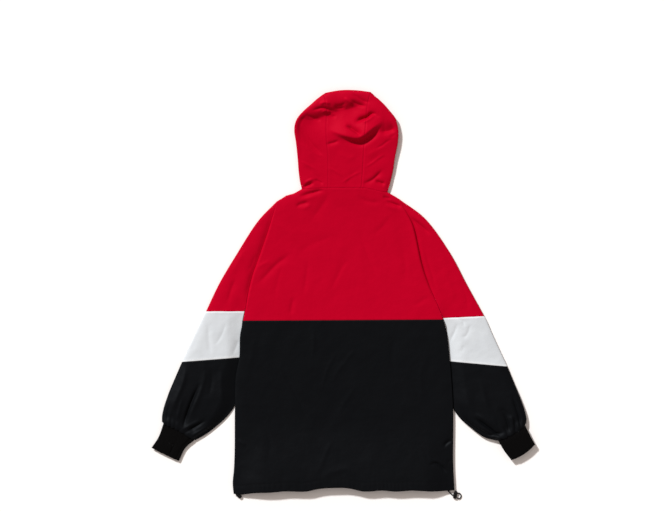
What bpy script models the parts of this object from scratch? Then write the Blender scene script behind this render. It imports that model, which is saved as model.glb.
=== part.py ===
"""Hooded colour-blocked windbreaker, laid face down on a flat surface.

World frame: metres, +X to the wearer's right, +Y towards the hood, +Z up off the surface.
The tables are in millimetres on a cutter's grid: across is measured from the centre back to the
wearer's right, down from the back neck seam to the hem, and heights from the surface.
Every cloth piece is an open grid on the inner face of the cloth, thickened outwards by Solidify.
"""

from collections import namedtuple

import bmesh
import bpy
import numpy as np

# ---------------------------------------------------------------- driving dimensions (mm)
MM = 0.001
CENTRE_ACROSS = -4.46   # the grid's point that is placed at X = Y = 0
CENTRE_DOWN = 270.5
WELD = 0.00002          # points this close, in metres, are made one
SHELL = 1.2             # wall of the woven shell cloth
RIB = 2.0               # wall of the rib knit
SEAM_GAP = 0.3          # clear distance between pieces at a flat seam
BENT_GAP = 0.7          # the same on the inner face, at a seam where the cloth bends
HOOD_GAP = 0.5          # the same at the hood's two long seams
NECK_CORNER = 3.0       # cut off each front where shoulder, neckline and hood meet
FOLD_PART = 0.1         # half the height between two pieces that meet on a fold
SIDE_FOLD = 7.2         # height of the body's side folds
SIDE_REACH = 28.0       # how far in from a fold the top layer keeps rising
UNDER_REACH = 30.0      # how far in from a fold the under layer keeps falling
HEM_LIFT = 13.0         # how far the back's hem stands up off the fronts'
LIFT_FROM = 600.0       # how far down the back the lift starts
LIFT_RUN = 190.0        # how much further down it is full
LIFT_EDGE = 80.0        # how far in from the side folds it is full
SLEEVE_FOLD = 5.5       # height of the sleeve's outer fold
SLEEVE_REACH = 26.0     # how far in from its outer fold the sleeve's top layer keeps rising
TUCK_REACH = 42.0       # the same from its inner fold, tucked under the body
SLEEVE_HOLLOW = 0.8     # least gap between the sleeve's two layers
ZIP_HALF = 5.2          # from the centre front to each front's edge
TAPE_HALF = 14.0
COIL_HALF = 3.0
ZIP_TOP = 92.0
ZIP_HEM = 776.0
SLIDER = (9.4, 14.0, 4.2)
CORD = 3.0
LOCK = (10.0, 21.0, 7.4)
BORE = 4.0
GATHER = 1.5            # height of the gathers at the cuffs
GATHER_REACH = 0.35     # share of the lower sleeve that they reach up
BODY_CREASE_EDGE = 22.0     # creases fade out over this distance from the body's folds
SLEEVE_CREASE_EDGE = 18.0   # the same on a sleeve

# ---------------------------------------------------------------- the garment's lines (mm)
Side = namedtuple("Side", "down across")
# The armhole seam from the shoulder to the underarm, then the side fold to the hem.
SIDES = {
    "left": [Side(35.9, -177.3), Side(51, -181.5), Side(90, -193.2), Side(147, -212), Side(187, -226),
             Side(226, -240), Side(265, -249.6), Side(312, -258), Side(345, -264.4), Side(376, -271.4),
             Side(441, -274.5), Side(489, -283.5), Side(568, -285.7), Side(733, -288.6),
             Side(770, -291.6), Side(795, -289)],
    "right": [Side(29.4, 140.4), Side(51, 153), Side(90, 175), Side(147, 189.7), Side(187, 198),
              Side(226, 209), Side(265, 223.2), Side(308, 241.8), Side(329, 250.6), Side(345, 256),
              Side(376, 264), Side(441, 271.6), Side(489, 275.6), Side(568, 280.4), Side(733, 281.4),
              Side(785, 284.4)],
}
UNDERARM = {"left": 312.0, "right": 329.0}
COLOUR_SEAM = {"left": 345.0, "right": 342.0}

Shoulder = namedtuple("Shoulder", "across down")
# The shoulder fold from the neck to the top of the armhole.
SHOULDERS = {
    "left": [Shoulder(-111.5, 3.0), Shoulder(-133.9, 15.1), Shoulder(-152.6, 20.3), Shoulder(-177.3, 35.9)],
    "right": [Shoulder(110.0, 11.0), Shoulder(120.5, 17.5), Shoulder(130.3, 22.9), Shoulder(140.4, 29.4)],
}

Ring = namedtuple("Ring", "at outer_across outer_down inner_across inner_down height fold")
# A row for each sleeve section: 0 armhole, 1 top and 2 foot of the band, 3 and 4 the cuff's ends.
# Its points are joined smoothly along the sleeve, and straight along the cuff.
# Height is the top layer's at mid-sleeve, fold the inner fold's.
SLEEVES = {
    "left": [
        Ring(0.0, -177.3, 35.9, -259.2, 312, 9.0, 6.5),
        Ring(0.25, -228, 90, -260.2, 314, 9.0, 6.5),
        Ring(0.5, -282.6, 175.5, -261.5, 316, 9.0, 6.4),
        Ring(0.75, -325, 247, -262.5, 318, 9.0, 6.3),
        Ring(1.0, -360.4, 320.8, -263.5, 321, 9.2, 6.0),
        Ring(1.3, -379, 360, -269.5, 352, 9.6, 4.4),
        Ring(1.65, -400, 404, -267.5, 397, 10.2, 2.4),
        Ring(2.0, -422.5, 451.9, -268.8, 440, 11.0, 2.2),
        Ring(2.3, -441, 494, -280.0, 495, 12.5, 2.2),
        Ring(2.6, -460, 540, -288, 560, 15.0, 2.6),
        Ring(2.8, -469, 574, -321, 604, 14.0, 4.0),
        Ring(3.0, -470, 611, -388.7, 654.9, 9.5, 5.0),
        Ring(3.5, -485, 646, -415.5, 676, 8.5, 4.7),
        Ring(4.0, -501, 676, -433.4, 708.8, 7.5, 4.4),
    ],
    "right": [
        Ring(0.0, 140.4, 29.4, 251.8, 329, 9.0, 6.5),
        Ring(0.25, 210.5, 83, 252.8, 331, 9.0, 6.5),
        Ring(0.5, 271.5, 168, 253.8, 333, 9.0, 6.4),
        Ring(0.75, 315.8, 251, 254.8, 335, 9.0, 6.3),
        Ring(1.0, 361.1, 333.3, 255.8, 338, 9.2, 6.0),
        Ring(1.3, 379, 373, 266, 366, 9.6, 4.4),
        Ring(1.65, 400, 419, 263.5, 404, 10.2, 2.4),
        Ring(2.0, 421, 464, 267, 450, 11.0, 2.2),
        Ring(2.3, 439, 507, 272.5, 505, 12.5, 2.2),
        Ring(2.6, 458, 553, 283, 566, 15.0, 2.6),
        Ring(2.8, 469, 588, 322, 607, 14.0, 4.0),
        Ring(3.0, 465.5, 615, 396.5, 655.5, 9.5, 5.0),
        Ring(3.5, 480, 642, 410.5, 682, 8.5, 4.7),
        Ring(4.0, 492.0, 667.5, 434, 706, 7.5, 4.4),
    ],
}

Hood = namedtuple("Hood", "down left left_seam right_seam right")
# A row for each section of the hood, from the neck to the crown.
HOOD = [
    Hood(0, -111.5, -43.7, 42.4, 110.0), Hood(-14, -115.5, -43.7, 43.7, 116),
    Hood(-37, -119, -43.7, 45.5, 122.5),
    Hood(-79, -122.5, -44, 48, 129.2), Hood(-121, -127, -47.5, 50, 137),
    Hood(-149, -131, -48.8, 52.5, 137.8), Hood(-165, -129.5, -48.5, 53.8, 135),
    Hood(-182, -122.5, -48, 54.8, 129.5), Hood(-198, -108.7, -47.2, 56, 117),
    Hood(-217, -87.6, -49, 58.5, 100.5), Hood(-235, -66.8, -53, 62.5, 81),
    Hood(-242, -57, -56, 65, 72.5), Hood(-249, -40, -40, 63, 63),
]
CrownPoint = namedtuple("CrownPoint", "across top_down under_across under_down")
# Points of the centre panel along the crown's fold, on the top and then on the under layer.
CROWN_POINTS = [
    CrownPoint(-50.0, -246.5, -57, -242), CrownPoint(-11.3, -253, -14, -246),
    CrownPoint(27.3, -253, 29, -246), CrownPoint(66.0, -248.5, 72, -243),
]
CROWN = -253.0
CROWN_MIDDLE = 5.0
CROWN_SIDE = -249.5     # where the crown's fold turns down each side of the hood
Opening = namedtuple("Opening", "at left right down")
# The hood's face opening on the under side, from the centre front neck (0) to its top (1).
OPENING = [
    Opening(0.0, -7, 7, 75), Opening(0.15, -19, 19, 40), Opening(0.4, -30, 31, -20),
    Opening(0.7, -36, 38, -100), Opening(1.0, -33, 40, -186),
]
NECK_FRONT = 75.0

Hem = namedtuple("Hem", "across down")
# The drawn hem of the back, uneven where the cord gathers it.
HEM = [
    Hem(-292, 794), Hem(-267, 795.6), Hem(-239, 792.2), Hem(-186, 789.9), Hem(-162, 787.5),
    Hem(-93, 786.2), Hem(-74, 781.8), Hem(-35, 778.2), Hem(0, 778.2), Hem(23, 781.8), Hem(40, 786.2),
    Hem(103, 785.2), Hem(126, 787.5), Hem(173, 785.2), Hem(233, 787.5), Hem(285, 784.7),
]
FRONT_HEM = 780.0

Loft = namedtuple("Loft", "down height fold reach")
# Height of the body's and hood's top layer, of their outer folds, and the width of the rounded edge.
LOFT = [
    Loft(-253, 20, 8.5, 38), Loft(-215, 27, 10, 46), Loft(-160, 32, 11, 54), Loft(-95, 29, 10, 50),
    Loft(-40, 18, 8, 40), Loft(0, 11.5, 6.2, 31), Loft(50, 9.4, 5.5, 27), Loft(345, 9, 5.5, 26),
    Loft(800, 8.6, 5.5, 26),
]

Fold = namedtuple("Fold", "across down to_across to_down width depth")
# The largest creases of the top layer, troughs negative.
FOLDS = [
    Fold(-15, -140, 70, -124, 13, -9),      # the crescent across the crown
    Fold(70, -124, 104, -165, 13, -6),
    Fold(-38, -148, 38, -141, 12, 4),
    Fold(-100, -187, -30, -210, 14, -5),    # the slumped crown
    Fold(-30, -210, 42, -222, 13, -4),
    Fold(28, -170, 84, -191, 12, -4),
    Fold(130, 24, 182, 64, 9, -2.5),        # from the right shoulder's point
    Fold(-372, 555, -428, 625, 12, -3.5),   # into the left cuff
    Fold(-340, 610, -410, 630, 10, -3),
    Fold(440, 560, 456, 622, 12, -3.5),     # into the right cuff
    Fold(353, 610, 413, 641, 10, -3),
]

CordPoint = namedtuple("CordPoint", "across down height")
# Each free end of the hem's elastic cord, from inside the hem to its end in the lock.
CORDS = {
    "right": [CordPoint(259, 778, 5.2), CordPoint(265.5, 784, 4.6), CordPoint(270.5, 789.5, 3.2),
              CordPoint(275.5, 795, 3.0), CordPoint(280.5, 798.4, 3.5), CordPoint(286.6, 797.2, 3.7),
              CordPoint(292.2, 793.8, 3.6), CordPoint(297, 793.6, 2.6), CordPoint(300.9, 797.2, 1.9),
              CordPoint(301.6, 802.6, 1.7), CordPoint(298.5, 807, 1.9), CordPoint(293.8, 807.2, 2.8),
              CordPoint(291.6, 805.0, 3.4)],
    "left": [CordPoint(-244, 781, 5.4), CordPoint(-250, 784.5, 5.4), CordPoint(-256.5, 787.6, 4.6),
             CordPoint(-263.5, 789.6, 3.9), CordPoint(-270, 791.6, 3.7), CordPoint(-277.4, 797.6, 3.7),
             CordPoint(-281.4, 801.6, 3.7)],
}
Lock = namedtuple("Lock", "across down turn")
# Each cord lock's middle, and its turn from lying along the body.
LOCKS = {"left": Lock(-277.4, 797.6, 45.0), "right": Lock(286.6, 797.2, -10.0)}

# ---------------------------------------------------------------- shares along and across
HOOD_RUN = (-246, -4, 40)       # first, last and count of the outline's points down the hood
SLEEVE_RUN = (0.04, 4, 60)      # the same along the sleeve's outer edge
# Shares of an armhole from the shoulder to the underarm, close together at its folds.
ARM_SHARES = np.array([0, 0.025, 0.08, 0.18, 0.34, 0.55, 0.75, 0.88, 0.96, 1.0])
# Distances in from a fold, on the body and on the hood.
FOLD_STEPS = np.array([0, 4, 12, 28])
RINGS = {"upper": 6, "band": 4, "lower": 8, "cuff": 2}


# ---------------------------------------------------------------- lines and heights
def smooth(x, xs, ys):
    """A cubic curve through the points xs, ys, with the slope at each point that of its neighbours."""
    x, xs, ys = (np.asarray(a, float) for a in (x, xs, ys))
    slope = np.gradient(ys, xs)
    i = np.clip(np.searchsorted(xs, x) - 1, 0, len(xs) - 2)
    step = xs[i + 1] - xs[i]
    t = np.clip((x - xs[i]) / step, 0, 1)
    start = (1 + 2 * t) * (1 - t) ** 2 * ys[i] + t * (1 - t) ** 2 * step * slope[i]
    end = t * t * (3 - 2 * t) * ys[i + 1] + t * t * (t - 1) * step * slope[i + 1]
    return start + end


def column(table, name):
    return np.array([getattr(row, name) for row in table], float)


def read(table, key, name, x):
    """Column name of a table, read smoothly where its key column is x."""
    keys, values = column(table, key), column(table, name)
    order = np.argsort(keys)
    return smooth(x, keys[order], values[order])


HOOD_ROWS = column(HOOD, "down")[:-1]


def side_line(side, downs):
    """Points (across, down) on a side's armhole seam or side fold."""
    downs = np.asarray(downs, float)
    return np.stack([read(SIDES[side], "down", "across", downs), downs], axis=-1)


def armhole(side, shares):
    top = SIDES[side][0].down
    return side_line(side, top + np.asarray(shares) * (UNDERARM[side] - top))


def hood_edge(side, downs):
    """Points (across, down) on a side's fold of the hood."""
    downs = np.asarray(downs, float)
    return np.stack([read(HOOD, "down", side, downs), downs], axis=-1)


CUFF_AT = 3.0


def sleeve_point(side, at, name):
    rings = SLEEVES[side]
    straight = np.interp(at, column(rings, "at"), column(rings, name))
    return np.where(at > CUFF_AT, straight, read(rings, "at", name, at))


def outline(side):
    """The fold all along one side: crown, hood, shoulder and the sleeve's outer edge."""
    crown = [[CROWN_MIDDLE, CROWN], hood_edge(side, [CROWN_SIDE])[0]]
    hood = hood_edge(side, np.linspace(*HOOD_RUN))
    shoulder = np.array([[p.across, p.down] for p in SHOULDERS[side]])
    along = np.linspace(*SLEEVE_RUN)
    outer = [sleeve_point(side, along, name) for name in ("outer_across", "outer_down")]
    return np.concatenate([crown, hood, shoulder, np.stack(outer, axis=-1)])


def distance(points, line):
    """Shortest distance from each point (across, down) to a line of straight pieces."""
    start, step = line[:-1], np.diff(line, axis=0)
    away = points[..., None, :] - start
    share = np.clip((away * step).sum(-1) / np.maximum((step**2).sum(-1), 1e-9), 0, 1)
    return np.linalg.norm(away - share[..., None] * step, axis=-1).min(-1)


def rounded(d, reach):
    """0 on a fold, rising as a quarter circle to 1 at reach."""
    return np.sqrt(1 - (1 - np.clip(d / reach, 0, 1)) ** 2)


def eased(t):
    t = np.clip(t, 0, 1)
    return t * t * (3 - 2 * t)


def falling(d, reach):
    """1 on a fold, falling to 0 at reach, for the under layer as it comes down to the surface."""
    return (1 - np.clip(d / reach, 0, 1)) ** 1.6


OUTLINES = {side: outline(side) for side in SIDES}
SIDE_FOLDS = {side: side_line(side, np.linspace(UNDERARM[side], 796, 50)) for side in SIDES}


def creases(points):
    """The height that the largest creases add, each a soft trough or ridge that tapers at its ends."""
    added = np.zeros(points.shape[:-1])
    for fold in FOLDS:
        start = np.array([fold.across, fold.down], float)
        step = np.array([fold.to_across, fold.to_down], float) - start
        share = ((points - start) @ step) / (step @ step)
        away = np.linalg.norm(points - start - np.clip(share, 0, 1)[..., None] * step, axis=-1)
        added = added + fold.depth * np.exp(-((away / fold.width) ** 2))
    return added


def fold_distances(points):
    outer = np.minimum(distance(points, OUTLINES["left"]), distance(points, OUTLINES["right"]))
    side = np.minimum(distance(points, SIDE_FOLDS["left"]), distance(points, SIDE_FOLDS["right"]))
    return outer, side


def top_height(points):
    """The inner face of the top layer of the body and hood, lifted towards the middle of the hem."""
    height, fold, reach = (read(LOFT, "down", name, points[..., 1]) for name in Loft._fields[1:])
    outer, side = fold_distances(points)
    level = height - (height - fold - FOLD_PART) * (1 - rounded(outer, reach))
    level = level - (height - SIDE_FOLD - FOLD_PART) * (1 - rounded(side, SIDE_REACH))
    level = level + HEM_LIFT * eased((points[..., 1] - LIFT_FROM) / LIFT_RUN) * eased(side / LIFT_EDGE)
    return level + creases(points) * eased(np.minimum(outer, side) / BODY_CREASE_EDGE)


def under_height(points):
    """The inner face of the under layer, flat on the surface away from the folds."""
    fold = read(LOFT, "down", "fold", points[..., 1])
    outer, side = fold_distances(points)
    lift = (fold - FOLD_PART - SHELL) * falling(outer, UNDER_REACH)
    return SHELL + lift + (SIDE_FOLD - FOLD_PART - SHELL) * falling(side, UNDER_REACH)


# ---------------------------------------------------------------- grids
def patch(bottom, top, left, right):
    """A grid between four lines: each point is pulled by all four, less its share of the corners."""
    across = np.linspace(0, 1, len(bottom))[None, :, None]
    along = np.concatenate([[0], np.cumsum(np.linalg.norm(np.diff(left, axis=0), axis=1))])
    up = (along / along[-1])[:, None, None]
    ruled = (1 - up) * bottom + up * top + (1 - across) * left[:, None] + across * right[:, None]
    corners = (1 - up) * ((1 - across) * bottom[0] + across * bottom[-1])
    return ruled - corners - up * ((1 - across) * top[0] + across * top[-1])


def seam_step(grid, gap):
    """Pulls a grid's first row back from its seam, along the cloth, by half the gap."""
    step = grid[1] - grid[0]
    length = np.linalg.norm(step, axis=-1, keepdims=True)
    grid[0] += step / np.maximum(length, 1e-6) * np.minimum(gap / 2, length / 3)


def pulled_back(grid, gap=SEAM_GAP, around=False, side_gap=SEAM_GAP):
    """A grid with its rims drawn in by half a seam's gap: gap at its end rows, side_gap at its sides."""
    grid = grid.copy()
    seam_step(grid, gap)
    seam_step(grid[::-1], gap)
    if not around:
        across = grid.swapaxes(0, 1)
        seam_step(across, side_gap)
        seam_step(across[::-1], side_gap)
    return grid


def raised(flat, height):
    return np.concatenate([flat, height[..., None]], axis=-1)


# ---------------------------------------------------------------- objects
for old in list(bpy.data.objects):
    bpy.data.objects.remove(old, do_unlink=True)
garment = bpy.data.collections.new("windbreaker")
cutters = bpy.data.collections.new("cutters")
bpy.context.scene.collection.children.link(garment)
bpy.context.scene.collection.children.link(cutters)


def finish(name, colour, roughness, metallic=0.0):
    """A piece's material."""
    material = bpy.data.materials.new(name)
    material.use_nodes = True
    shader = material.node_tree.nodes["Principled BSDF"]
    shader.inputs["Base Color"].default_value = (*colour, 1)
    shader.inputs["Roughness"].default_value = roughness
    shader.inputs["Metallic"].default_value = metallic
    return material


RED = finish("red_shell", (0.50, 0.001, 0.016), 0.55)
BLACK = finish("black_shell", (0.007, 0.008, 0.009), 0.5)
WHITE = finish("white_shell", (0.74, 0.78, 0.79), 0.6)
RIBBED = finish("black_rib", (0.004, 0.004, 0.004), 0.9)
ELASTIC = finish("black_elastic", (0.005, 0.005, 0.005), 0.8)
PLASTIC = finish("black_plastic", (0.008, 0.008, 0.009), 0.35)


def placed(points):
    """Grid millimetres to world metres."""
    world = np.empty(points.shape)
    world[..., 0] = (points[..., 0] - CENTRE_ACROSS) * MM
    world[..., 1] = (CENTRE_DOWN - points[..., 1]) * MM
    world[..., 2] = points[..., 2] * MM
    return world


def add_object(name, data, material, home=garment):
    piece = bpy.data.objects.new(name, data)
    data.materials.append(material)
    home.objects.link(piece)
    return piece


def cloth(name, grid, wall, material, turn=False, around=False):
    """Thickens a grid on the cloth's inner face outwards. turn swaps the side that is outer."""
    rows, columns = grid.shape[:2]
    number = np.arange(rows * columns).reshape(rows, columns)
    if around:
        number = np.concatenate([number, number[:, :1]], axis=1)
    corners = [number[:-1, :-1], number[:-1, 1:], number[1:, 1:], number[1:, :-1]]
    faces = np.stack(corners, axis=-1).reshape(-1, 4)
    if turn:
        faces = faces[:, ::-1]
    mesh = bpy.data.meshes.new(name)
    mesh.from_pydata(placed(grid).reshape(-1, 3).tolist(), [], faces.tolist())
    shape = bmesh.new()
    shape.from_mesh(mesh)
    bmesh.ops.remove_doubles(shape, verts=shape.verts, dist=WELD)
    shape.to_mesh(mesh)
    shape.free()
    mesh.shade_smooth()
    piece = add_object(name, mesh, material)
    wall_of = piece.modifiers.new("wall", "SOLIDIFY")
    wall_of.thickness = wall * MM
    wall_of.offset = 1
    return piece


# ---------------------------------------------------------------- back
def shoulder_line(side, shares):
    """Points on a shoulder, from the top of the armhole (0) to the neck (1)."""
    table = SHOULDERS[side][::-1]
    marks = np.linspace(0, 1, len(table))
    return np.stack([smooth(shares, marks, column(table, n)) for n in ("across", "down")], axis=-1)


def neck_marks(side):
    """Points on the back neck seam from the neck's corner to the hood's seam."""
    corner = SHOULDERS[side][0]
    seam = HOOD[0].left_seam if side == "left" else HOOD[0].right_seam
    across = corner.across + np.append(FOLD_STEPS, abs(seam - corner.across)) * np.sign(seam - corner.across)
    share = (across - corner.across) / (seam - corner.across)
    return np.stack([across, corner.down * (1 - eased(share))], axis=-1)


def back_neck():
    centre = np.stack([np.linspace(HOOD[0].left_seam, HOOD[0].right_seam, 4), np.zeros(4)], axis=-1)[1:-1]
    return np.concatenate([neck_marks("left"), centre, neck_marks("right")[::-1]])


SHOULDER_SHARES = np.array([0, 0.12, 0.35, 0.65, 1.0])


def upper_side(side):
    """A side of the upper body, from the colour seam up the side fold and the armhole."""
    start = side_line(side, [COLOUR_SEAM[side]])
    return np.concatenate([start, armhole(side, ARM_SHARES[::-1])])


BODY_COLUMNS = 12   # columns of the back between the ones near its two folds
MIDDLE_FROM = 56.0  # the first and last of them, in from the folds


def crossing(down_left, down_right):
    """A line across the body between its side folds, its points close together near each fold."""
    left, right = side_line("left", [down_left])[0], side_line("right", [down_right])[0]
    middle = np.linspace(left + [MIDDLE_FROM, 0], right - [MIDDLE_FROM, 0], BODY_COLUMNS)
    near = np.stack([FOLD_STEPS, 0 * FOLD_STEPS], axis=-1)
    return np.concatenate([left + near, middle, right - near[::-1]])


def colour_seam():
    return crossing(COLOUR_SEAM["left"], COLOUR_SEAM["right"])


def back_upper_grid():
    top = np.concatenate([
        shoulder_line("left", SHOULDER_SHARES)[:-1], back_neck(),
        shoulder_line("right", SHOULDER_SHARES)[::-1][1:],
    ])
    flat = patch(colour_seam(), top, upper_side("left"), upper_side("right"))
    return raised(flat, top_height(flat))


LOWER_ROWS = np.array([0, 0.07, 0.2, 0.36, 0.52, 0.68, 0.84, 0.94, 1.0])


def back_lower_grid():
    left_seam, right_seam = COLOUR_SEAM["left"], COLOUR_SEAM["right"]
    left_hem, right_hem = SIDES["left"][-1].down, SIDES["right"][-1].down
    shares = LOWER_ROWS[::-1]
    left = side_line("left", left_seam + shares * (left_hem - left_seam))
    right = side_line("right", right_seam + shares * (right_hem - right_seam))
    bottom = crossing(left_hem, right_hem)
    bottom[1:-1, 1] = read(HEM, "across", "down", bottom[1:-1, 0])
    flat = patch(bottom, colour_seam(), left, right)
    return raised(flat, top_height(flat))


# ---------------------------------------------------------------- fronts
FRONT_COLUMNS = 5   # columns of a front from its last one near the fold to the zip
FRONT_SEAM = 344.0  # the colour seam at the zip
HEM_RISE = 12.0     # the fronts' hem at the side fold, up from the back's


def front_line(side, down, middle_down):
    """A line from a side fold to the zip, its points close together near the fold."""
    start = side_line(side, [down])[0]
    sign = -1 if side == "left" else 1
    end = np.array([sign * ZIP_HALF, middle_down])
    across = start[0] - sign * FOLD_STEPS
    rest = np.linspace(across[-1], end[0], FRONT_COLUMNS)[1:]
    across = np.concatenate([across, rest])
    share = (across - start[0]) / (end[0] - start[0])
    return np.stack([across, start[1] + share * (end[1] - start[1])], axis=-1)


def neckline(side, count):
    """The front neckline from the neck's corner down to the centre front."""
    corner = SHOULDERS[side][0]
    sign = -1 if side == "left" else 1
    turn = np.linspace(0, 1, count) ** 1.6 * np.pi / 2
    across = sign * ZIP_HALF + (corner.across - sign * ZIP_HALF) * np.cos(turn)
    return np.stack([across, corner.down + (NECK_FRONT - corner.down) * np.sin(turn)], axis=-1)


def front_upper_grid(side):
    bottom = front_line(side, COLOUR_SEAM[side], FRONT_SEAM)
    top = np.concatenate([shoulder_line(side, np.array([0, 0.3, 0.65, 1.0]))[:-1], neckline(side, 5)])
    along_shoulder = top[2] - top[3]
    top[3:5] += NECK_CORNER * along_shoulder / np.linalg.norm(along_shoulder) * np.array([[1], [0.5]])
    outer = upper_side(side)
    along = np.concatenate([[0], np.cumsum(np.linalg.norm(np.diff(outer, axis=0), axis=1))])
    inner = bottom[-1] + (along / along[-1])[:, None] * (top[-1] - bottom[-1])
    flat = patch(bottom, top, outer, inner)
    return raised(flat, under_height(flat))


def front_lower_grid(side):
    seam, hem = COLOUR_SEAM[side], SIDES[side][-1].down - HEM_RISE
    shares = LOWER_ROWS[::-1]
    outer = side_line(side, seam + shares * (hem - seam))
    bottom = front_line(side, hem, FRONT_HEM)
    top = front_line(side, seam, FRONT_SEAM)
    inner = top[-1] + shares[:, None] * (bottom[-1] - top[-1])
    flat = patch(bottom, top, outer, inner)
    return raised(flat, under_height(flat))


# ---------------------------------------------------------------- sleeves
def ring_line(side, at, shares):
    """A sleeve section from its outer to its inner fold: straight, bowed near the armhole."""
    outer = np.array([sleeve_point(side, at, "outer_across"), sleeve_point(side, at, "outer_down")])
    inner = np.array([sleeve_point(side, at, "inner_across"), sleeve_point(side, at, "inner_down")])
    line = outer + shares[:, None] * (inner - outer)
    seam = armhole(side, ARM_SHARES)
    bow = seam - (seam[0] + ARM_SHARES[:, None] * (seam[-1] - seam[0]))
    fade = (1 - min(at, 1)) ** 1.5
    bow_at = np.stack([np.interp(shares, ARM_SHARES, bow[:, k]) for k in (0, 1)], axis=-1)
    return line + fade * bow_at


def sleeve_ring(side, at):
    """One closed section of a sleeve: the top layer out to in, then the under layer back."""
    shares = ARM_SHARES
    flat = ring_line(side, at, shares)
    height, fold = sleeve_point(side, at, "height"), sleeve_point(side, at, "fold")
    outer = distance(flat, OUTLINES[side])
    outer[0] = 0
    inner = np.linalg.norm(flat - flat[-1], axis=-1)
    own = height - (height - SLEEVE_FOLD) * (1 - rounded(outer, SLEEVE_REACH))
    own = own - (height - fold) * (1 - eased(inner / TUCK_REACH))
    own = own + creases(flat) * eased(np.minimum(outer, inner) / SLEEVE_CREASE_EDGE)
    blend = eased(np.array(at))
    top = (1 - blend) * top_height(flat) + blend * own
    under = SHELL + (SLEEVE_FOLD - SHELL) * falling(outer, UNDER_REACH)
    under = under + (fold - SHELL) * falling(inner, UNDER_REACH)
    pleats = GATHER * np.exp(-(((at - CUFF_AT) / GATHER_REACH) ** 2)) * np.resize([1.0, -1.0], len(shares))
    top = np.maximum(top + pleats * np.sin(np.pi * shares), under + SLEEVE_HOLLOW)
    top[0] = under[0] = (top[0] + under[0]) / 2
    top[-1] = under[-1] = (top[-1] + under[-1]) / 2
    return np.concatenate([raised(flat, top), raised(flat, under)[-2:0:-1]])


def sleeve_grid(side, start, end, rings):
    stops = np.linspace(start, end, rings + 1)
    return np.array([sleeve_ring(side, at) for at in stops])


def cuff_grid(side):
    grid = sleeve_grid(side, 3.0, 4.0, RINGS["cuff"])
    grid[..., 2] += RIB - SHELL
    return grid


# ---------------------------------------------------------------- hood
UNDER_SHARES = np.array([0.05, 0.16, 0.38, 1.0])    # from the fold to the face opening's rim
NARROW_SHARES = np.array([0, 0.25, 0.5, 0.75])      # from the fold to the seam, where that is narrow


def hood_opening(at, name):
    return read(OPENING, "at", name, at)


def hood_side_grid(side):
    """A side panel: from its upper seam out to the fold, under it, and in to the face opening."""
    sign = -1 if side == "left" else 1
    rows = []
    for i, down in enumerate(HOOD_ROWS):
        at = i / (len(HOOD_ROWS) - 1)
        seam = read(HOOD, "down", side + "_seam", down)
        edge = read(HOOD, "down", side, down)
        width = abs(edge - seam)
        steps = np.minimum(FOLD_STEPS, width * NARROW_SHARES)
        across = np.append(edge - sign * steps, seam)[::-1]
        top = np.stack([across, np.full(len(across), down)], axis=-1)
        rim = np.array([hood_opening(at, side), hood_opening(at, "down")])
        under = top[-1] + UNDER_SHARES[:, None] * (rim - top[-1])
        if i == 0:
            top, under = neck_marks(side)[::-1], neckline(side, 5)[1:]
        rows.append(np.concatenate([raised(top, top_height(top)), raised(under, under_height(under))]))
    return np.array(rows)


def hood_centre_grid():
    """The centre panel: from the back neck over the crown to the top of the face opening."""
    shares = np.linspace(0, 1, 4)
    rows = []
    for down in HOOD_ROWS:
        ends = read(HOOD, "down", "left_seam", down), read(HOOD, "down", "right_seam", down)
        line = np.stack([ends[0] + shares * (ends[1] - ends[0]), np.full(4, down)], axis=-1)
        rows.append(raised(line, top_height(line)))
    crown = np.stack([column(CROWN_POINTS, "across"), column(CROWN_POINTS, "top_down")], axis=-1)
    rows.append(raised(crown, top_height(crown) - FOLD_PART))
    left, right = hood_opening(1.0, "left"), hood_opening(1.0, "right")
    rim = np.stack([left + shares * (right - left), np.full(4, hood_opening(1.0, "down"))], axis=-1)
    start = np.stack([column(CROWN_POINTS, "under_across"), column(CROWN_POINTS, "under_down")], axis=-1)
    for share in (0.0, 0.35, 1.0):
        line = start + share * (rim - start)
        rows.append(raised(line, under_height(line)))
    return np.array(rows)


# ---------------------------------------------------------------- zip, cords and locks
def block(name, size, centre, material, bevel=0.0):
    mesh = bpy.data.meshes.new(name)
    shape = bmesh.new()
    bmesh.ops.create_cube(shape, size=1)
    bmesh.ops.scale(shape, verts=shape.verts, vec=[s * MM for s in size])
    shape.to_mesh(mesh)
    shape.free()
    piece = add_object(name, mesh, material)
    piece.location = placed(np.array(centre, float))
    if bevel:
        edge = piece.modifiers.new("edge", "BEVEL")
        edge.width, edge.segments = bevel * MM, 2
    return piece


def zip_tape():
    """Two tapes with their closed coil between them, drawn as one section from neck to hem."""
    low, high = SHELL + SEAM_GAP, SHELL + SEAM_GAP + 1.0
    section = [(-TAPE_HALF, low), (-COIL_HALF, low), (-COIL_HALF, 0.3), (COIL_HALF, 0.3),
               (COIL_HALF, low), (TAPE_HALF, low), (TAPE_HALF, high), (-TAPE_HALF, high)]
    mesh = bpy.data.meshes.new("zip_tape")
    shape = bmesh.new()
    ends = []
    for down in (ZIP_HEM, ZIP_TOP + SLIDER[1] / 2 + SEAM_GAP):
        ring = [placed(np.array([x, down, z])) for x, z in section]
        ends.append([shape.verts.new(point) for point in ring])
    for k in range(len(section)):
        nxt = (k + 1) % len(section)
        shape.faces.new([ends[0][k], ends[0][nxt], ends[1][nxt], ends[1][k]])
    shape.faces.new(ends[0][::-1])
    shape.faces.new(ends[1])
    bmesh.ops.recalc_face_normals(shape, faces=shape.faces)
    shape.to_mesh(mesh)
    shape.free()
    return add_object("zip_tape", mesh, BLACK)


def along_cord(side, first, last, count):
    """Points evenly spaced along a cord's table, from its row first to its row last."""
    points = placed(np.array(CORDS[side], float))
    rows = np.linspace(first, last, count)
    return np.stack([smooth(rows, np.arange(len(points)), points[:, k]) for k in range(3)], axis=-1)


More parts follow.
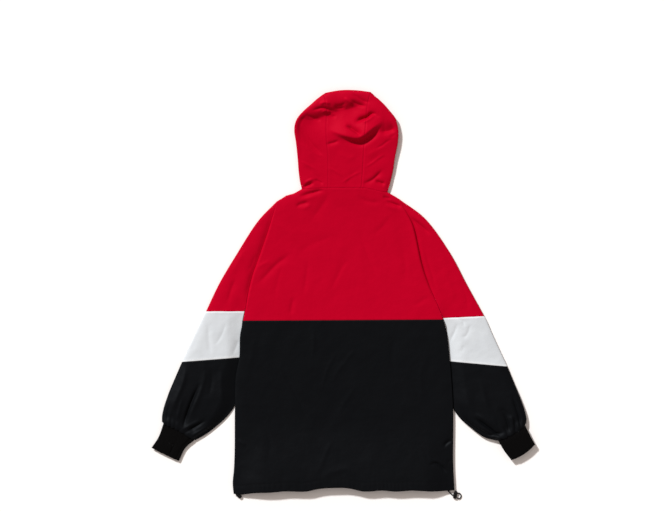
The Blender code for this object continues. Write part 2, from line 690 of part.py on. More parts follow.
def tube(name, route, diameter):
    curve = bpy.data.curves.new(name, "CURVE")
    curve.dimensions = "3D"
    curve.bevel_depth = diameter / 2 * MM
    curve.bevel_resolution = 2
    curve.use_fill_caps = True
    spline = curve.splines.new("POLY")
    spline.points.add(len(route) - 1)
    for point, place in zip(spline.points, route):
        point.co = (*place, 1)
    return curve


def cord(side):
    """A free end of the hem's cord, through its lock."""
    count = len(CORDS[side])
    route = along_cord(side, 0, count - 1, 3 * count)
    return add_object("hem_cord_" + side, tube("hem_cord_" + side, route, CORD), ELASTIC)


LOCK_EDGE = 2.6
LOCK_ROW = 5        # the row of each cord's table that is in the middle of its lock
BORE_ROWS = 2       # rows each way that the bore follows it
BORE_RUN = 3.0      # how much further its last step runs where the cord ends inside


def cord_lock(side):
    """A barrel with rounded edges and a cross bore that follows its cord."""
    lock = LOCKS[side]
    name = "cord_lock_" + side
    barrel = block(name, LOCK, (lock.across, lock.down, LOCK[2] / 2), PLASTIC)
    barrel.rotation_euler.z = np.radians(lock.turn)
    edge = barrel.modifiers.new("edge", "BEVEL")
    edge.width, edge.segments = LOCK_EDGE * MM, 2
    last = len(CORDS[side]) - 1
    route = along_cord(side, LOCK_ROW - BORE_ROWS, min(LOCK_ROW + BORE_ROWS, last), 9)
    if LOCK_ROW + BORE_ROWS > last:
        route[-1] += (route[-1] - route[-2]) * BORE_RUN
    swept = bpy.data.objects.new("bore_" + side, tube("bore_" + side, route, BORE))
    cutters.objects.link(swept)
    bpy.context.view_layer.update()
    solid = bpy.data.meshes.new_from_object(swept.evaluated_get(bpy.context.evaluated_depsgraph_get()))
    bpy.data.objects.remove(swept)
    shape = bmesh.new()
    shape.from_mesh(solid)
    bmesh.ops.remove_doubles(shape, verts=shape.verts, dist=WELD)
    shape.to_mesh(solid)
    shape.free()
    cutter = bpy.data.objects.new("bore_" + side, solid)
    cutter.hide_render = True
    cutter.display_type = "WIRE"
    cutters.objects.link(cutter)
    bore = barrel.modifiers.new("bore", "BOOLEAN")
    bore.object = cutter
    return barrel


# ---------------------------------------------------------------- the garment
cloth("back_upper", pulled_back(back_upper_grid()), SHELL, RED)
cloth("back_lower", pulled_back(back_lower_grid()), SHELL, BLACK)
for side in SIDES:
    left = side == "left"
    cloth("front_upper_" + side, pulled_back(front_upper_grid(side)), SHELL, RED, turn=left)
    cloth("front_lower_" + side, pulled_back(front_lower_grid(side)), SHELL, BLACK, turn=left)
    for part, start, colour in (("upper", 0, RED), ("band", 1, WHITE), ("lower", 2, BLACK)):
        grid = pulled_back(sleeve_grid(side, start, start + 1, RINGS[part]), BENT_GAP, True)
        cloth(f"sleeve_{side}_{part}", grid, SHELL, colour, turn=left, around=True)
    cuff = pulled_back(cuff_grid(side), 2 * BENT_GAP, True)
    cloth("cuff_" + side, cuff, RIB, RIBBED, turn=left, around=True)
    panel = pulled_back(hood_side_grid(side), 2 * BENT_GAP, side_gap=HOOD_GAP)
    cloth("hood_" + side, panel, SHELL, RED, turn=left)
    cord(side)
    cord_lock(side)
cloth("hood_centre", pulled_back(hood_centre_grid(), BENT_GAP, side_gap=HOOD_GAP), SHELL, RED)
zip_tape()
slider_place = (0, ZIP_TOP, SLIDER[2] / 2)
block("zip_slider", SLIDER, slider_place, finish("dark_metal", (0.05, 0.05, 0.05), 0.4, 1.0), bevel=0.8)
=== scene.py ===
from collections import namedtuple

import bpy
import numpy as np
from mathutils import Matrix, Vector


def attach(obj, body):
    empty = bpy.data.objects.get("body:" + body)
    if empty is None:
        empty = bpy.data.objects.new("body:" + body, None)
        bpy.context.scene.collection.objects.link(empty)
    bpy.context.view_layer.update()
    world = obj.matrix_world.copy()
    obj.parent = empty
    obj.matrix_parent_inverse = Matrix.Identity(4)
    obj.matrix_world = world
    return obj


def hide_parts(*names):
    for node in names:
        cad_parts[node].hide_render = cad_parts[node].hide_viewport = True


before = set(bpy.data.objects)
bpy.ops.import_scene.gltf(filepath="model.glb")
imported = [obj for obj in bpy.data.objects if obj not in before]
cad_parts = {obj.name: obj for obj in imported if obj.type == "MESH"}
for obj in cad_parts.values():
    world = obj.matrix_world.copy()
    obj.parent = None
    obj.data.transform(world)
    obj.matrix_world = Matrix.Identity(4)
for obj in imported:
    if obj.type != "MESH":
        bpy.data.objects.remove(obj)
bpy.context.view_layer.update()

# ======================================================================= camera
# The jacket is seen from straight above through a long lens, so that nothing leans.
SEEN_WIDTH = 1.729
CAMERA_HEIGHT = 9.0
SEEN_CENTRE = (-0.02804, 0.0937)
SENSOR_WIDTH = 36.0
camera = bpy.data.objects.new("camera", bpy.data.cameras.new("camera"))
camera.data.sensor_width = SENSOR_WIDTH
camera.data.lens = SENSOR_WIDTH * CAMERA_HEIGHT / SEEN_WIDTH
camera.data.clip_end = 60
camera.location = (*SEEN_CENTRE, CAMERA_HEIGHT)
bpy.context.scene.collection.objects.link(camera)
bpy.context.scene.camera = camera

# ======================================================================= hem cord ends
# Each end of the hem's round elastic, 3 mm thick and braided, comes out of the hem at a side seam,
# passes through its lock and, on the right, turns back to the lock in a small loop.
MM = 0.001
CENTRE_ACROSS = -4.46   # the grid's point at X = Y = 0
CENTRE_DOWN = 270.5     # and how far down the grid it is
CORD = 3.0
CORD_POINTS = 64
CORD_SIDES = 14
BRAID_WAVES = 2600.0    # radians of braid to a metre of cord
BRAID_STRANDS = 6
CORD_ROUTES = {
    "right": [(259, 778, 5.2), (265.5, 784, 4.6), (270.5, 789.5, 3.2), (275.5, 795, 3.0),
              (280.5, 798.4, 3.5), (286.6, 797.2, 3.7), (292.2, 793.8, 3.6), (297, 793.6, 2.6),
              (300.9, 797.2, 1.9), (301.6, 802.6, 1.7), (298.5, 807, 1.9), (293.8, 807.2, 2.8),
              (291.6, 805.0, 3.4)],
    "left": [(-244, 781, 5.4), (-250, 784.5, 5.4), (-256.5, 787.6, 4.6), (-263.5, 789.6, 3.9),
             (-270, 791.6, 3.7), (-277.4, 797.6, 3.7), (-281.4, 801.6, 3.7)],
}


def placed(points):
    """Grid millimetres to world metres."""
    across, down, height = np.moveaxis(np.asarray(points, float), -1, 0)
    return np.stack([across - CENTRE_ACROSS, CENTRE_DOWN - down, height], axis=-1) * MM


def smooth(x, xs, ys):
    """A cubic curve through the points xs, ys, with the slope at each point that of its neighbours."""
    x, xs, ys = (np.asarray(a, float) for a in (x, xs, ys))
    slope = np.gradient(ys, xs)
    i = np.clip(np.searchsorted(xs, x) - 1, 0, len(xs) - 2)
    step = xs[i + 1] - xs[i]
    t = np.clip((x - xs[i]) / step, 0, 1)
    start = (1 + 2 * t) * (1 - t) ** 2 * ys[i] + t * (1 - t) ** 2 * step * slope[i]
    end = t * t * (3 - 2 * t) * ys[i + 1] + t * t * (t - 1) * step * slope[i + 1]
    return start + end


def curve_through(points, count):
    """A smooth line through the points, of count points."""
    points = np.asarray(points, float)
    marks = np.linspace(0, len(points) - 1, count)
    return np.stack([smooth(marks, np.arange(len(points)), part) for part in points.T], axis=-1)


def along(line):
    """Distance from a line's start to each of its points."""
    return np.concatenate([[0], np.cumsum(np.linalg.norm(np.diff(line, axis=0), axis=1))])


def column(table, name):
    """One column of a table, as an array."""
    return np.array([getattr(row, name) for row in table], float)


def unit(vectors):
    """The same directions, one unit long."""
    return vectors / np.maximum(np.linalg.norm(vectors, axis=-1, keepdims=True), 1e-12)


def bell(x, width):
    """1 at x = 0, falling away evenly on both sides, to 0.37 at width."""
    return np.exp(-((x / width) ** 2))


def corners_of(grid):
    """The four corners of each face of a grid, in turn."""
    return np.stack([grid[:-1, :-1], grid[:-1, 1:], grid[1:, 1:], grid[1:, :-1]], axis=-1)


def linked(name, data):
    """An object made of a mesh or a light, at the origin of the scene."""
    piece = bpy.data.objects.new(name, data)
    bpy.context.scene.collection.objects.link(piece)
    return piece


def surface(name, grid, uv, around=False, facts=None):
    """A mesh on a grid of points in metres, its last column joined to its first if around is true.
    uv is the same grid in metres along and across the piece; facts are other numbers kept on its points."""
    rows, columns = grid.shape[:2]
    number = np.arange(rows * columns).reshape(rows, columns)
    wide = np.concatenate([number, number[:, :1]], axis=1) if around else number
    if around:
        closing = np.stack([uv[:, :1, 0], 2 * uv[:, -1:, 1] - uv[:, -2:-1, 1]], axis=-1)
        uv = np.concatenate([uv, closing], axis=1)
    faces = corners_of(wide).reshape(-1, 4)
    mesh = bpy.data.meshes.new(name)
    mesh.from_pydata(grid.reshape(-1, 3), [], faces)
    steps = np.stack([corners_of(uv[..., 0]), corners_of(uv[..., 1])], axis=-1)
    mesh.uv_layers.new(name="cut").data.foreach_set("uv", steps.reshape(-1).astype(np.float32))
    for fact, values in (facts or {}).items():
        layer = mesh.attributes.new(fact, "FLOAT", "POINT")
        layer.data.foreach_set("value", np.asarray(values, np.float32).reshape(-1))
    mesh.polygons.foreach_set("use_smooth", np.ones(len(faces), bool))
    mesh.update()
    return linked(name, mesh)


def tube(name, line, radii, sides=CORD_SIDES):
    """A round section carried along a line in metres, one radius for each of its points."""
    ahead = unit(np.gradient(line, axis=0))
    level = unit(np.cross(ahead, [0, 0, 1.0]))
    upright = np.cross(level, ahead)
    turn = np.linspace(0, 2 * np.pi, sides, endpoint=False)[None, :, None]
    ring = level[:, None] * np.cos(turn) + upright[:, None] * np.sin(turn)
    grid = line[:, None] + ring * np.asarray(radii)[:, None, None]
    uv = np.stack(np.broadcast_arrays(along(line)[:, None], turn[..., 0] / (2 * np.pi)), axis=-1)
    return surface(name, grid[:, ::-1], uv, around=True)


class Wire:
    """A shader socket that sums and products can be written with."""

    def __init__(self, maker, socket):
        self.maker, self.socket = maker, socket

    def work(self, operation, first, second):
        return self.maker.node("ShaderNodeMath", {"operation": operation}, [first, second])

    def __add__(self, other):
        return self.work("ADD", self, other)

    def __sub__(self, other):
        return self.work("SUBTRACT", self, other)

    def __rsub__(self, other):
        return self.work("SUBTRACT", other, self)

    def __mul__(self, other):
        return self.work("MULTIPLY", self, other)

    def __truediv__(self, other):
        return self.work("DIVIDE", self, other)

    __radd__ = __add__


class Finish:
    """A material whose nodes are made one by one; its shader's own sockets are set by name."""

    def __init__(self, name, constants):
        self.material = bpy.data.materials.new(name)
        self.material.use_nodes = True
        self.nodes, self.links = self.material.node_tree.nodes, self.material.node_tree.links
        self.shader = self.nodes["Principled BSDF"]
        for socket, value in constants.items():
            self.shader.inputs[socket].default_value = value

    def node(self, kind, settings, sockets, output=0):
        """Makes a node, with its settings first and then its sockets, by name or in order."""
        made = self.nodes.new(kind)
        for setting, value in settings.items():
            if setting == "stops":
                for place, colour in value:
                    made.color_ramp.elements.new(place).color = colour
                made.color_ramp.elements.remove(made.color_ramp.elements[0])
                made.color_ramp.elements.remove(made.color_ramp.elements[-1])
            else:
                setattr(made, setting, value)
        for name, value in sockets.items() if isinstance(sockets, dict) else enumerate(sockets):
            self.put(made.inputs[name], value)
        return Wire(self, made.outputs[output])

    def put(self, socket, value):
        """Links a wire to a socket, or sets a plain value on it."""
        if isinstance(value, Wire):
            self.links.new(value.socket, socket)
        else:
            socket.default_value = value

    def noise(self, vector, scale, detail=3.0, rough=0.5):
        """Soft noise, with about scale blots to each unit of the vector."""
        settings = {"Vector": vector, "Scale": scale, "Detail": detail, "Roughness": rough}
        return self.node("ShaderNodeTexNoise", {}, settings)

    def place(self):
        """Place in the object's own space, in metres."""
        return self.node("ShaderNodeTexCoord", {}, {}, "Object")

    def cut(self):
        """Place on the opened-out piece, in metres."""
        return self.node("ShaderNodeUVMap", {"uv_map": "cut"}, {})

    def stretched(self, vector, scale):
        """A place multiplied by a number in each direction."""
        return self.node("ShaderNodeMapping", {}, {"Vector": vector, "Scale": scale})

    def fact(self, name):
        """A number kept on the mesh's points."""
        return self.node("ShaderNodeAttribute", {"attribute_name": name}, {}, "Fac")

    def coloured(self, factor, low, high):
        """Gives the shader a colour between low and high."""
        sockets = {0: factor, 6: (*low, 1), 7: (*high, 1)}
        mixed = self.node("ShaderNodeMix", {"data_type": "RGBA"}, sockets, 2)
        self.shaded(Base_Color=mixed)

    def ramp(self, factor, *stops):
        """A number read from straight stretches between stops of (place, value)."""
        colours = [(place, (value, value, value, 1)) for place, value in stops]
        return self.node("ShaderNodeValToRGB", {"stops": colours}, [factor])

    def shaded(self, **sockets):
        """Puts values on the shader's sockets, an underline standing for a space."""
        for name, value in sockets.items():
            self.put(self.shader.inputs[name.replace("_", " ")], value)

    def bumped(self, height, distance, strength=1.0):
        """Makes a height, of at most distance in metres, show in the shading."""
        sockets = {"Height": height, "Distance": distance, "Strength": strength}
        self.put(self.shader.inputs["Normal"], self.node("ShaderNodeBump", {}, sockets))


def braided_elastic():
    """Black braid: two sets of strands that cross as they run round the cord."""
    finish = Finish("braided_elastic", {"Specular IOR Level": 0.05})
    cut = finish.cut()
    length, turn = (finish.node("ShaderNodeSeparateXYZ", {}, [cut], part) for part in (0, 1))
    strands = []
    for sign in (1, -1):
        angle = length * BRAID_WAVES + turn * (sign * 2 * np.pi * BRAID_STRANDS)
        strands.append(finish.node("ShaderNodeMath", {"operation": "SINE"}, [angle]))
    braid = finish.node("ShaderNodeMath", {"operation": "MAXIMUM"}, strands) * 0.5 + 0.5
    finish.coloured(braid, (0.0015, 0.0015, 0.0015), (0.006, 0.006, 0.0065))
    finish.shaded(Roughness=0.75 - braid * 0.2)
    finish.bumped(braid, 0.0003)
    return finish.material


ELASTIC = braided_elastic()
cords = {}
for side, route in CORD_ROUTES.items():
    line = curve_through(placed(route), CORD_POINTS)
    radii = np.full(CORD_POINTS, CORD / 2 * MM)
    # its two ends are rounded off
    radii[[0, -1]] *= 0.02
    radii[[1, -2]] *= 0.9
    line[1], line[-2] = line[0] + (line[1] - line[0]) * 0.3, line[-1] + (line[-2] - line[-1]) * 0.3
    cords[side] = tube("braided_cord_" + side, line, radii)
    cords[side].data.materials.append(ELASTIC)
    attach(cords[side], "root")
    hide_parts("hem_cord_" + side)

# ======================================================================= cord locks
# Moulded black barrels with a sprung button at one end, and a raised lip on either side where the cord
# runs through. The left one is mostly under the hem.
Station = namedtuple("Station", "at half_wide half_high")
LOCK_STATIONS = [
    Station(-10.5, 0.05, 0.05), Station(-10.4, 2.6, 1.9), Station(-9.8, 3.7, 2.7), Station(-8.8, 4.4, 3.2),
    Station(-5.5, 4.95, 3.6), Station(0, 5.0, 3.7), Station(4.6, 4.9, 3.6), Station(6.0, 4.6, 3.4),
    Station(6.6, 4.0, 2.9), Station(6.75, 3.3, 2.5), Station(6.95, 3.1, 2.4), Station(9.4, 3.05, 2.35),
    Station(10.2, 2.6, 2.0), Station(10.5, 1.4, 1.1), Station(10.52, 0.05, 0.05),
]
Lock = namedtuple("Lock", "across down turn")
LOCKS = {"left": Lock(-277.4, 797.6, 45.0), "right": Lock(286.6, 797.2, -10.0)}
LOCK_HEIGHT = 3.72
LOCK_SQUARE = 2.8       # 2 would make its section an ellipse
LIP_RADIUS = 2.0
LIP_THICKNESS = 0.5
LIP_OUT = 5.0           # how far out from the lock's middle a lip can be
LIP_RUN = 9.0           # and how far along the cord from there


def plastic():
    """Moulded black plastic with a fine grain."""
    finish = Finish("moulded_plastic", {"Specular IOR Level": 0.2})
    grain = finish.noise(finish.place(), 900.0, 2.0)
    finish.coloured(grain, (0.001, 0.001, 0.0011), (0.002, 0.002, 0.0022))
    finish.shaded(Roughness=0.3 + grain * 0.12)
    finish.bumped(grain, 0.0001, 0.5)
    return finish.material


PLASTIC = plastic()


def lock_axes(lock):
    """The directions along and across a lock, seen from above."""
    angle = np.radians(lock.turn)
    return np.array([-np.sin(angle), np.cos(angle)]), np.array([np.cos(angle), np.sin(angle)])


def lock_centre(lock):
    """The middle of a lock, in metres."""
    return placed([lock.across, lock.down, LOCK_HEIGHT])


def barrel(lock):
    """A squared round section carried along the lock, its half width and height read from its stations."""
    marks = np.linspace(0, len(LOCK_STATIONS) - 1, 60)
    ats, wide, high = (np.interp(marks, np.arange(len(LOCK_STATIONS)), column(LOCK_STATIONS, name))
                       for name in Station._fields)
    turn = np.linspace(0, 2 * np.pi, 32, endpoint=False)
    side, up = (np.sign(f(turn)) * np.abs(f(turn)) ** (2 / LOCK_SQUARE) for f in (np.cos, np.sin))
    axis, level = lock_axes(lock)
    flat = ats[:, None, None] * axis + (wide[:, None] * side)[..., None] * level
    points = lock_centre(lock) + np.concatenate([flat, (high[:, None] * up)[..., None]], axis=-1) * MM
    uv = np.stack(np.broadcast_arrays(ats[:, None], turn), axis=-1) * MM
    return points[:, ::-1], uv


def lip(centre, ahead):
    """A small ring around the cord where it enters the lock."""
    turn = np.linspace(0, 2 * np.pi, 28)
    level = unit(np.cross(ahead, [0, 0, 1.0]))
    upright = np.cross(level, ahead)
    ring = level * np.cos(turn)[:, None] + upright * np.sin(turn)[:, None]
    line = centre + ring * LIP_RADIUS * MM
    return tube("lip", line, np.full(len(line), LIP_THICKNESS * MM), 10)


def lips(line, lock):
    """A lip at each end of the stretch of a cord's line that is inside its lock."""
    away = np.abs((line - lock_centre(lock))[:, :2] @ lock_axes(lock)[1])
    run = np.linalg.norm(line - line[np.argmin(away)], axis=1)
    within = np.flatnonzero((away < LIP_OUT * MM) & (run < LIP_RUN * MM))
    ahead = unit(np.gradient(line, axis=0))
    return [lip(line[k], ahead[k]) for k in (within[0], within[-1])]


def joined(name, parts):
    """One object out of several, which are removed."""
    with bpy.context.temp_override(active_object=parts[0], selected_editable_objects=parts):
        bpy.ops.object.join()
    parts[0].name = name
    return parts[0]


for side, lock in LOCKS.items():
    points, uv = barrel(lock)
    body = surface("barrel", points, uv, around=True)
    route = placed(CORD_ROUTES[side])
    piece = joined("toggle_" + side, [body, *lips(curve_through(route, 400), lock)])
    piece.data.materials.append(PLASTIC)
    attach(piece, "root")
    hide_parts("cord_lock_" + side)
    line = curve_through(route, CORD_POINTS)

# ======================================================================= upper back
# The red yoke and back in one piece: it lies over the front's two red panels, and rounds down to a
# fold at each shoulder. Thin nylon, sewn to the hood at the neck, the sleeves and the black back.
SHELL = 0.8         # drawn wall of the woven nylon
SEAM_HALF = 0.12    # half the gap between two pieces at a seam
FLOOR_GAP = 1.2     # height of the under layer's inner face
LEAST_HEIGHT = 3.2  # a fold of the top layer comes down no further than this
FOLD_PART = 0.1
SHARPNESS = 1.55    # 2 would round a crease's crest, 1 would bring it to an edge
SIDE_FOLD = 7.2
SIDE_REACH = 28.0
UNDER_REACH = 30.0
HEM_LIFT = 13.0     # how far the back's hem stands up off the front's
LIFT_FROM = 600.0
LIFT_RUN = 190.0
LIFT_EDGE = 80.0
BACK_STEP = 3.0     # about how far apart the back's points are
# The armhole seam from the shoulder to the underarm, then the side fold to the hem.
Side = namedtuple("Side", "down across")
SIDES = {
    "left": [Side(35.9, -177.3), Side(51, -181.5), Side(90, -193.2), Side(147, -212), Side(187, -226),
             Side(226, -240), Side(265, -249.6), Side(312, -258), Side(345, -264.4), Side(376, -271.4),
             Side(441, -274.5), Side(489, -283.5), Side(568, -285.7), Side(733, -288.6),
             Side(770, -291.6), Side(795, -289)],
    "right": [Side(29.4, 140.4), Side(51, 153), Side(90, 175), Side(147, 189.7), Side(187, 198),
              Side(226, 209), Side(265, 223.2), Side(308, 241.8), Side(329, 250.6), Side(345, 256),
              Side(376, 264), Side(441, 271.6), Side(489, 275.6), Side(568, 280.4), Side(733, 281.4),
              Side(785, 284.4)],
}
SIGN = {"left": -1, "right": 1}
UNDERARM = {"left": 312.0, "right": 329.0}
COLOUR_SEAM = {"left": 345.0, "right": 342.0}
Shoulder = namedtuple("Shoulder", "across down")
SHOULDERS = {
    "left": [Shoulder(-111.5, 3.0), Shoulder(-133.9, 15.1), Shoulder(-152.6, 20.3), Shoulder(-177.3, 35.9)],
    "right": [Shoulder(110.0, 11.0), Shoulder(120.5, 17.5), Shoulder(130.3, 22.9), Shoulder(140.4, 29.4)],
}
# A row for each sleeve section: 0 armhole, 1 top and 2 foot of the band, 3 and 4 the cuff's ends.
# Height is the top layer's at mid-sleeve, fold the inner fold's.
Ring = namedtuple("Ring", "at outer_across outer_down inner_across inner_down height fold")
SLEEVES = {
    "left": [
        Ring(0.0, -177.3, 35.9, -259.2, 312, 9.0, 6.5),
        Ring(0.25, -228, 90, -260.2, 314, 9.0, 6.5),
        Ring(0.5, -282.6, 175.5, -260.6, 316, 9.0, 6.4),
        Ring(0.75, -325, 247, -261, 318, 9.0, 6.3),
        Ring(1.0, -360.4, 320.8, -261.6, 320.5, 9.2, 6.0),
        Ring(1.3, -379, 360, -267.4, 352, 9.6, 4.2),
        Ring(1.65, -400, 404, -267.5, 397, 10.2, 2.4),
        Ring(2.0, -422.5, 451.9, -268.8, 440, 11.0, 2.2),
        Ring(2.3, -441, 494, -280.0, 495, 12.5, 2.2),
        Ring(2.6, -460, 540, -290, 570, 15.0, 2.6),
        Ring(2.8, -471.5, 576, -327, 612, 14.0, 4.0),
        Ring(2.9, -474.5, 592, -360, 638, 12.0, 4.5),
        Ring(3.0, -475, 608, -389.5, 655, 9.5, 5.0),
        Ring(3.5, -485, 646, -415.5, 676, 8.5, 4.7),
        Ring(4.0, -501, 676, -433.4, 708.8, 7.5, 4.4),
    ],
    "right": [
        Ring(0.0, 140.4, 29.4, 251.8, 329, 9.0, 6.5),
        Ring(0.25, 210.5, 83, 252.8, 331, 9.0, 6.5),
        Ring(0.5, 271.5, 168, 253.8, 333, 9.0, 6.4),
        Ring(0.75, 315.8, 251, 254.8, 335, 9.0, 6.3),
        Ring(1.0, 361.1, 333.3, 255.8, 338, 9.2, 6.0),
        Ring(1.3, 379, 373, 266, 366, 9.6, 4.4),
        Ring(1.65, 400, 419, 263.5, 404, 10.2, 2.4),
        Ring(2.0, 421, 464, 267, 450, 11.0, 2.2),
        Ring(2.3, 439, 507, 272.5, 505, 12.5, 2.2),
        Ring(2.6, 458, 553, 284, 577, 15.0, 2.6),
        Ring(2.8, 468.5, 586, 322, 618, 14.0, 4.0),
        Ring(2.9, 470.5, 599, 360, 646, 12.0, 4.5),
        Ring(3.0, 470, 611, 396, 656, 9.5, 5.0),
        Ring(3.5, 480.5, 640.5, 414, 683, 8.5, 4.7),
        Ring(4.0, 492.0, 667.5, 434, 706, 7.5, 4.4),
    ],
}
CUFF_AT = 3.0
Hood = namedtuple("Hood", "down left left_seam right_seam right")
HOOD = [
    Hood(0, -111.5, -43.7, 42.4, 110.0), Hood(-14, -115.5, -43.7, 43.7, 116),
    Hood(-37, -119, -43.7, 45.5, 122.5),
    Hood(-79, -122.5, -44, 48, 129.2), Hood(-121, -127, -47.5, 50, 137),
    Hood(-149, -131, -48.8, 52.5, 137.8), Hood(-165, -129.5, -48.5, 53.8, 135),
    Hood(-182, -122.5, -48, 54.8, 129.5), Hood(-198, -108.7, -47.2, 56, 117),
    Hood(-217, -87.6, -49, 58.5, 100.5), Hood(-235, -66.8, -53, 62.5, 81),
    Hood(-242, -57, -56, 65, 72.5), Hood(-249, -40, -40, 63, 63),
]
CROWN = -253.0
# Height of the top layer and of the outer folds, and the width of the rounded edge.
Loft = namedtuple("Loft", "down height fold reach")
LOFT = [
    Loft(-253, 17, 11, 26), Loft(-215, 20, 12.5, 30), Loft(-160, 19, 14, 34), Loft(-95, 13, 11.2, 34),
    Loft(-40, 12.2, 8.5, 32), Loft(0, 11.7, 6.2, 31), Loft(50, 9.4, 5.5, 27), Loft(345, 9, 5.5, 26),
    Loft(800, 8.6, 5.5, 26),
]
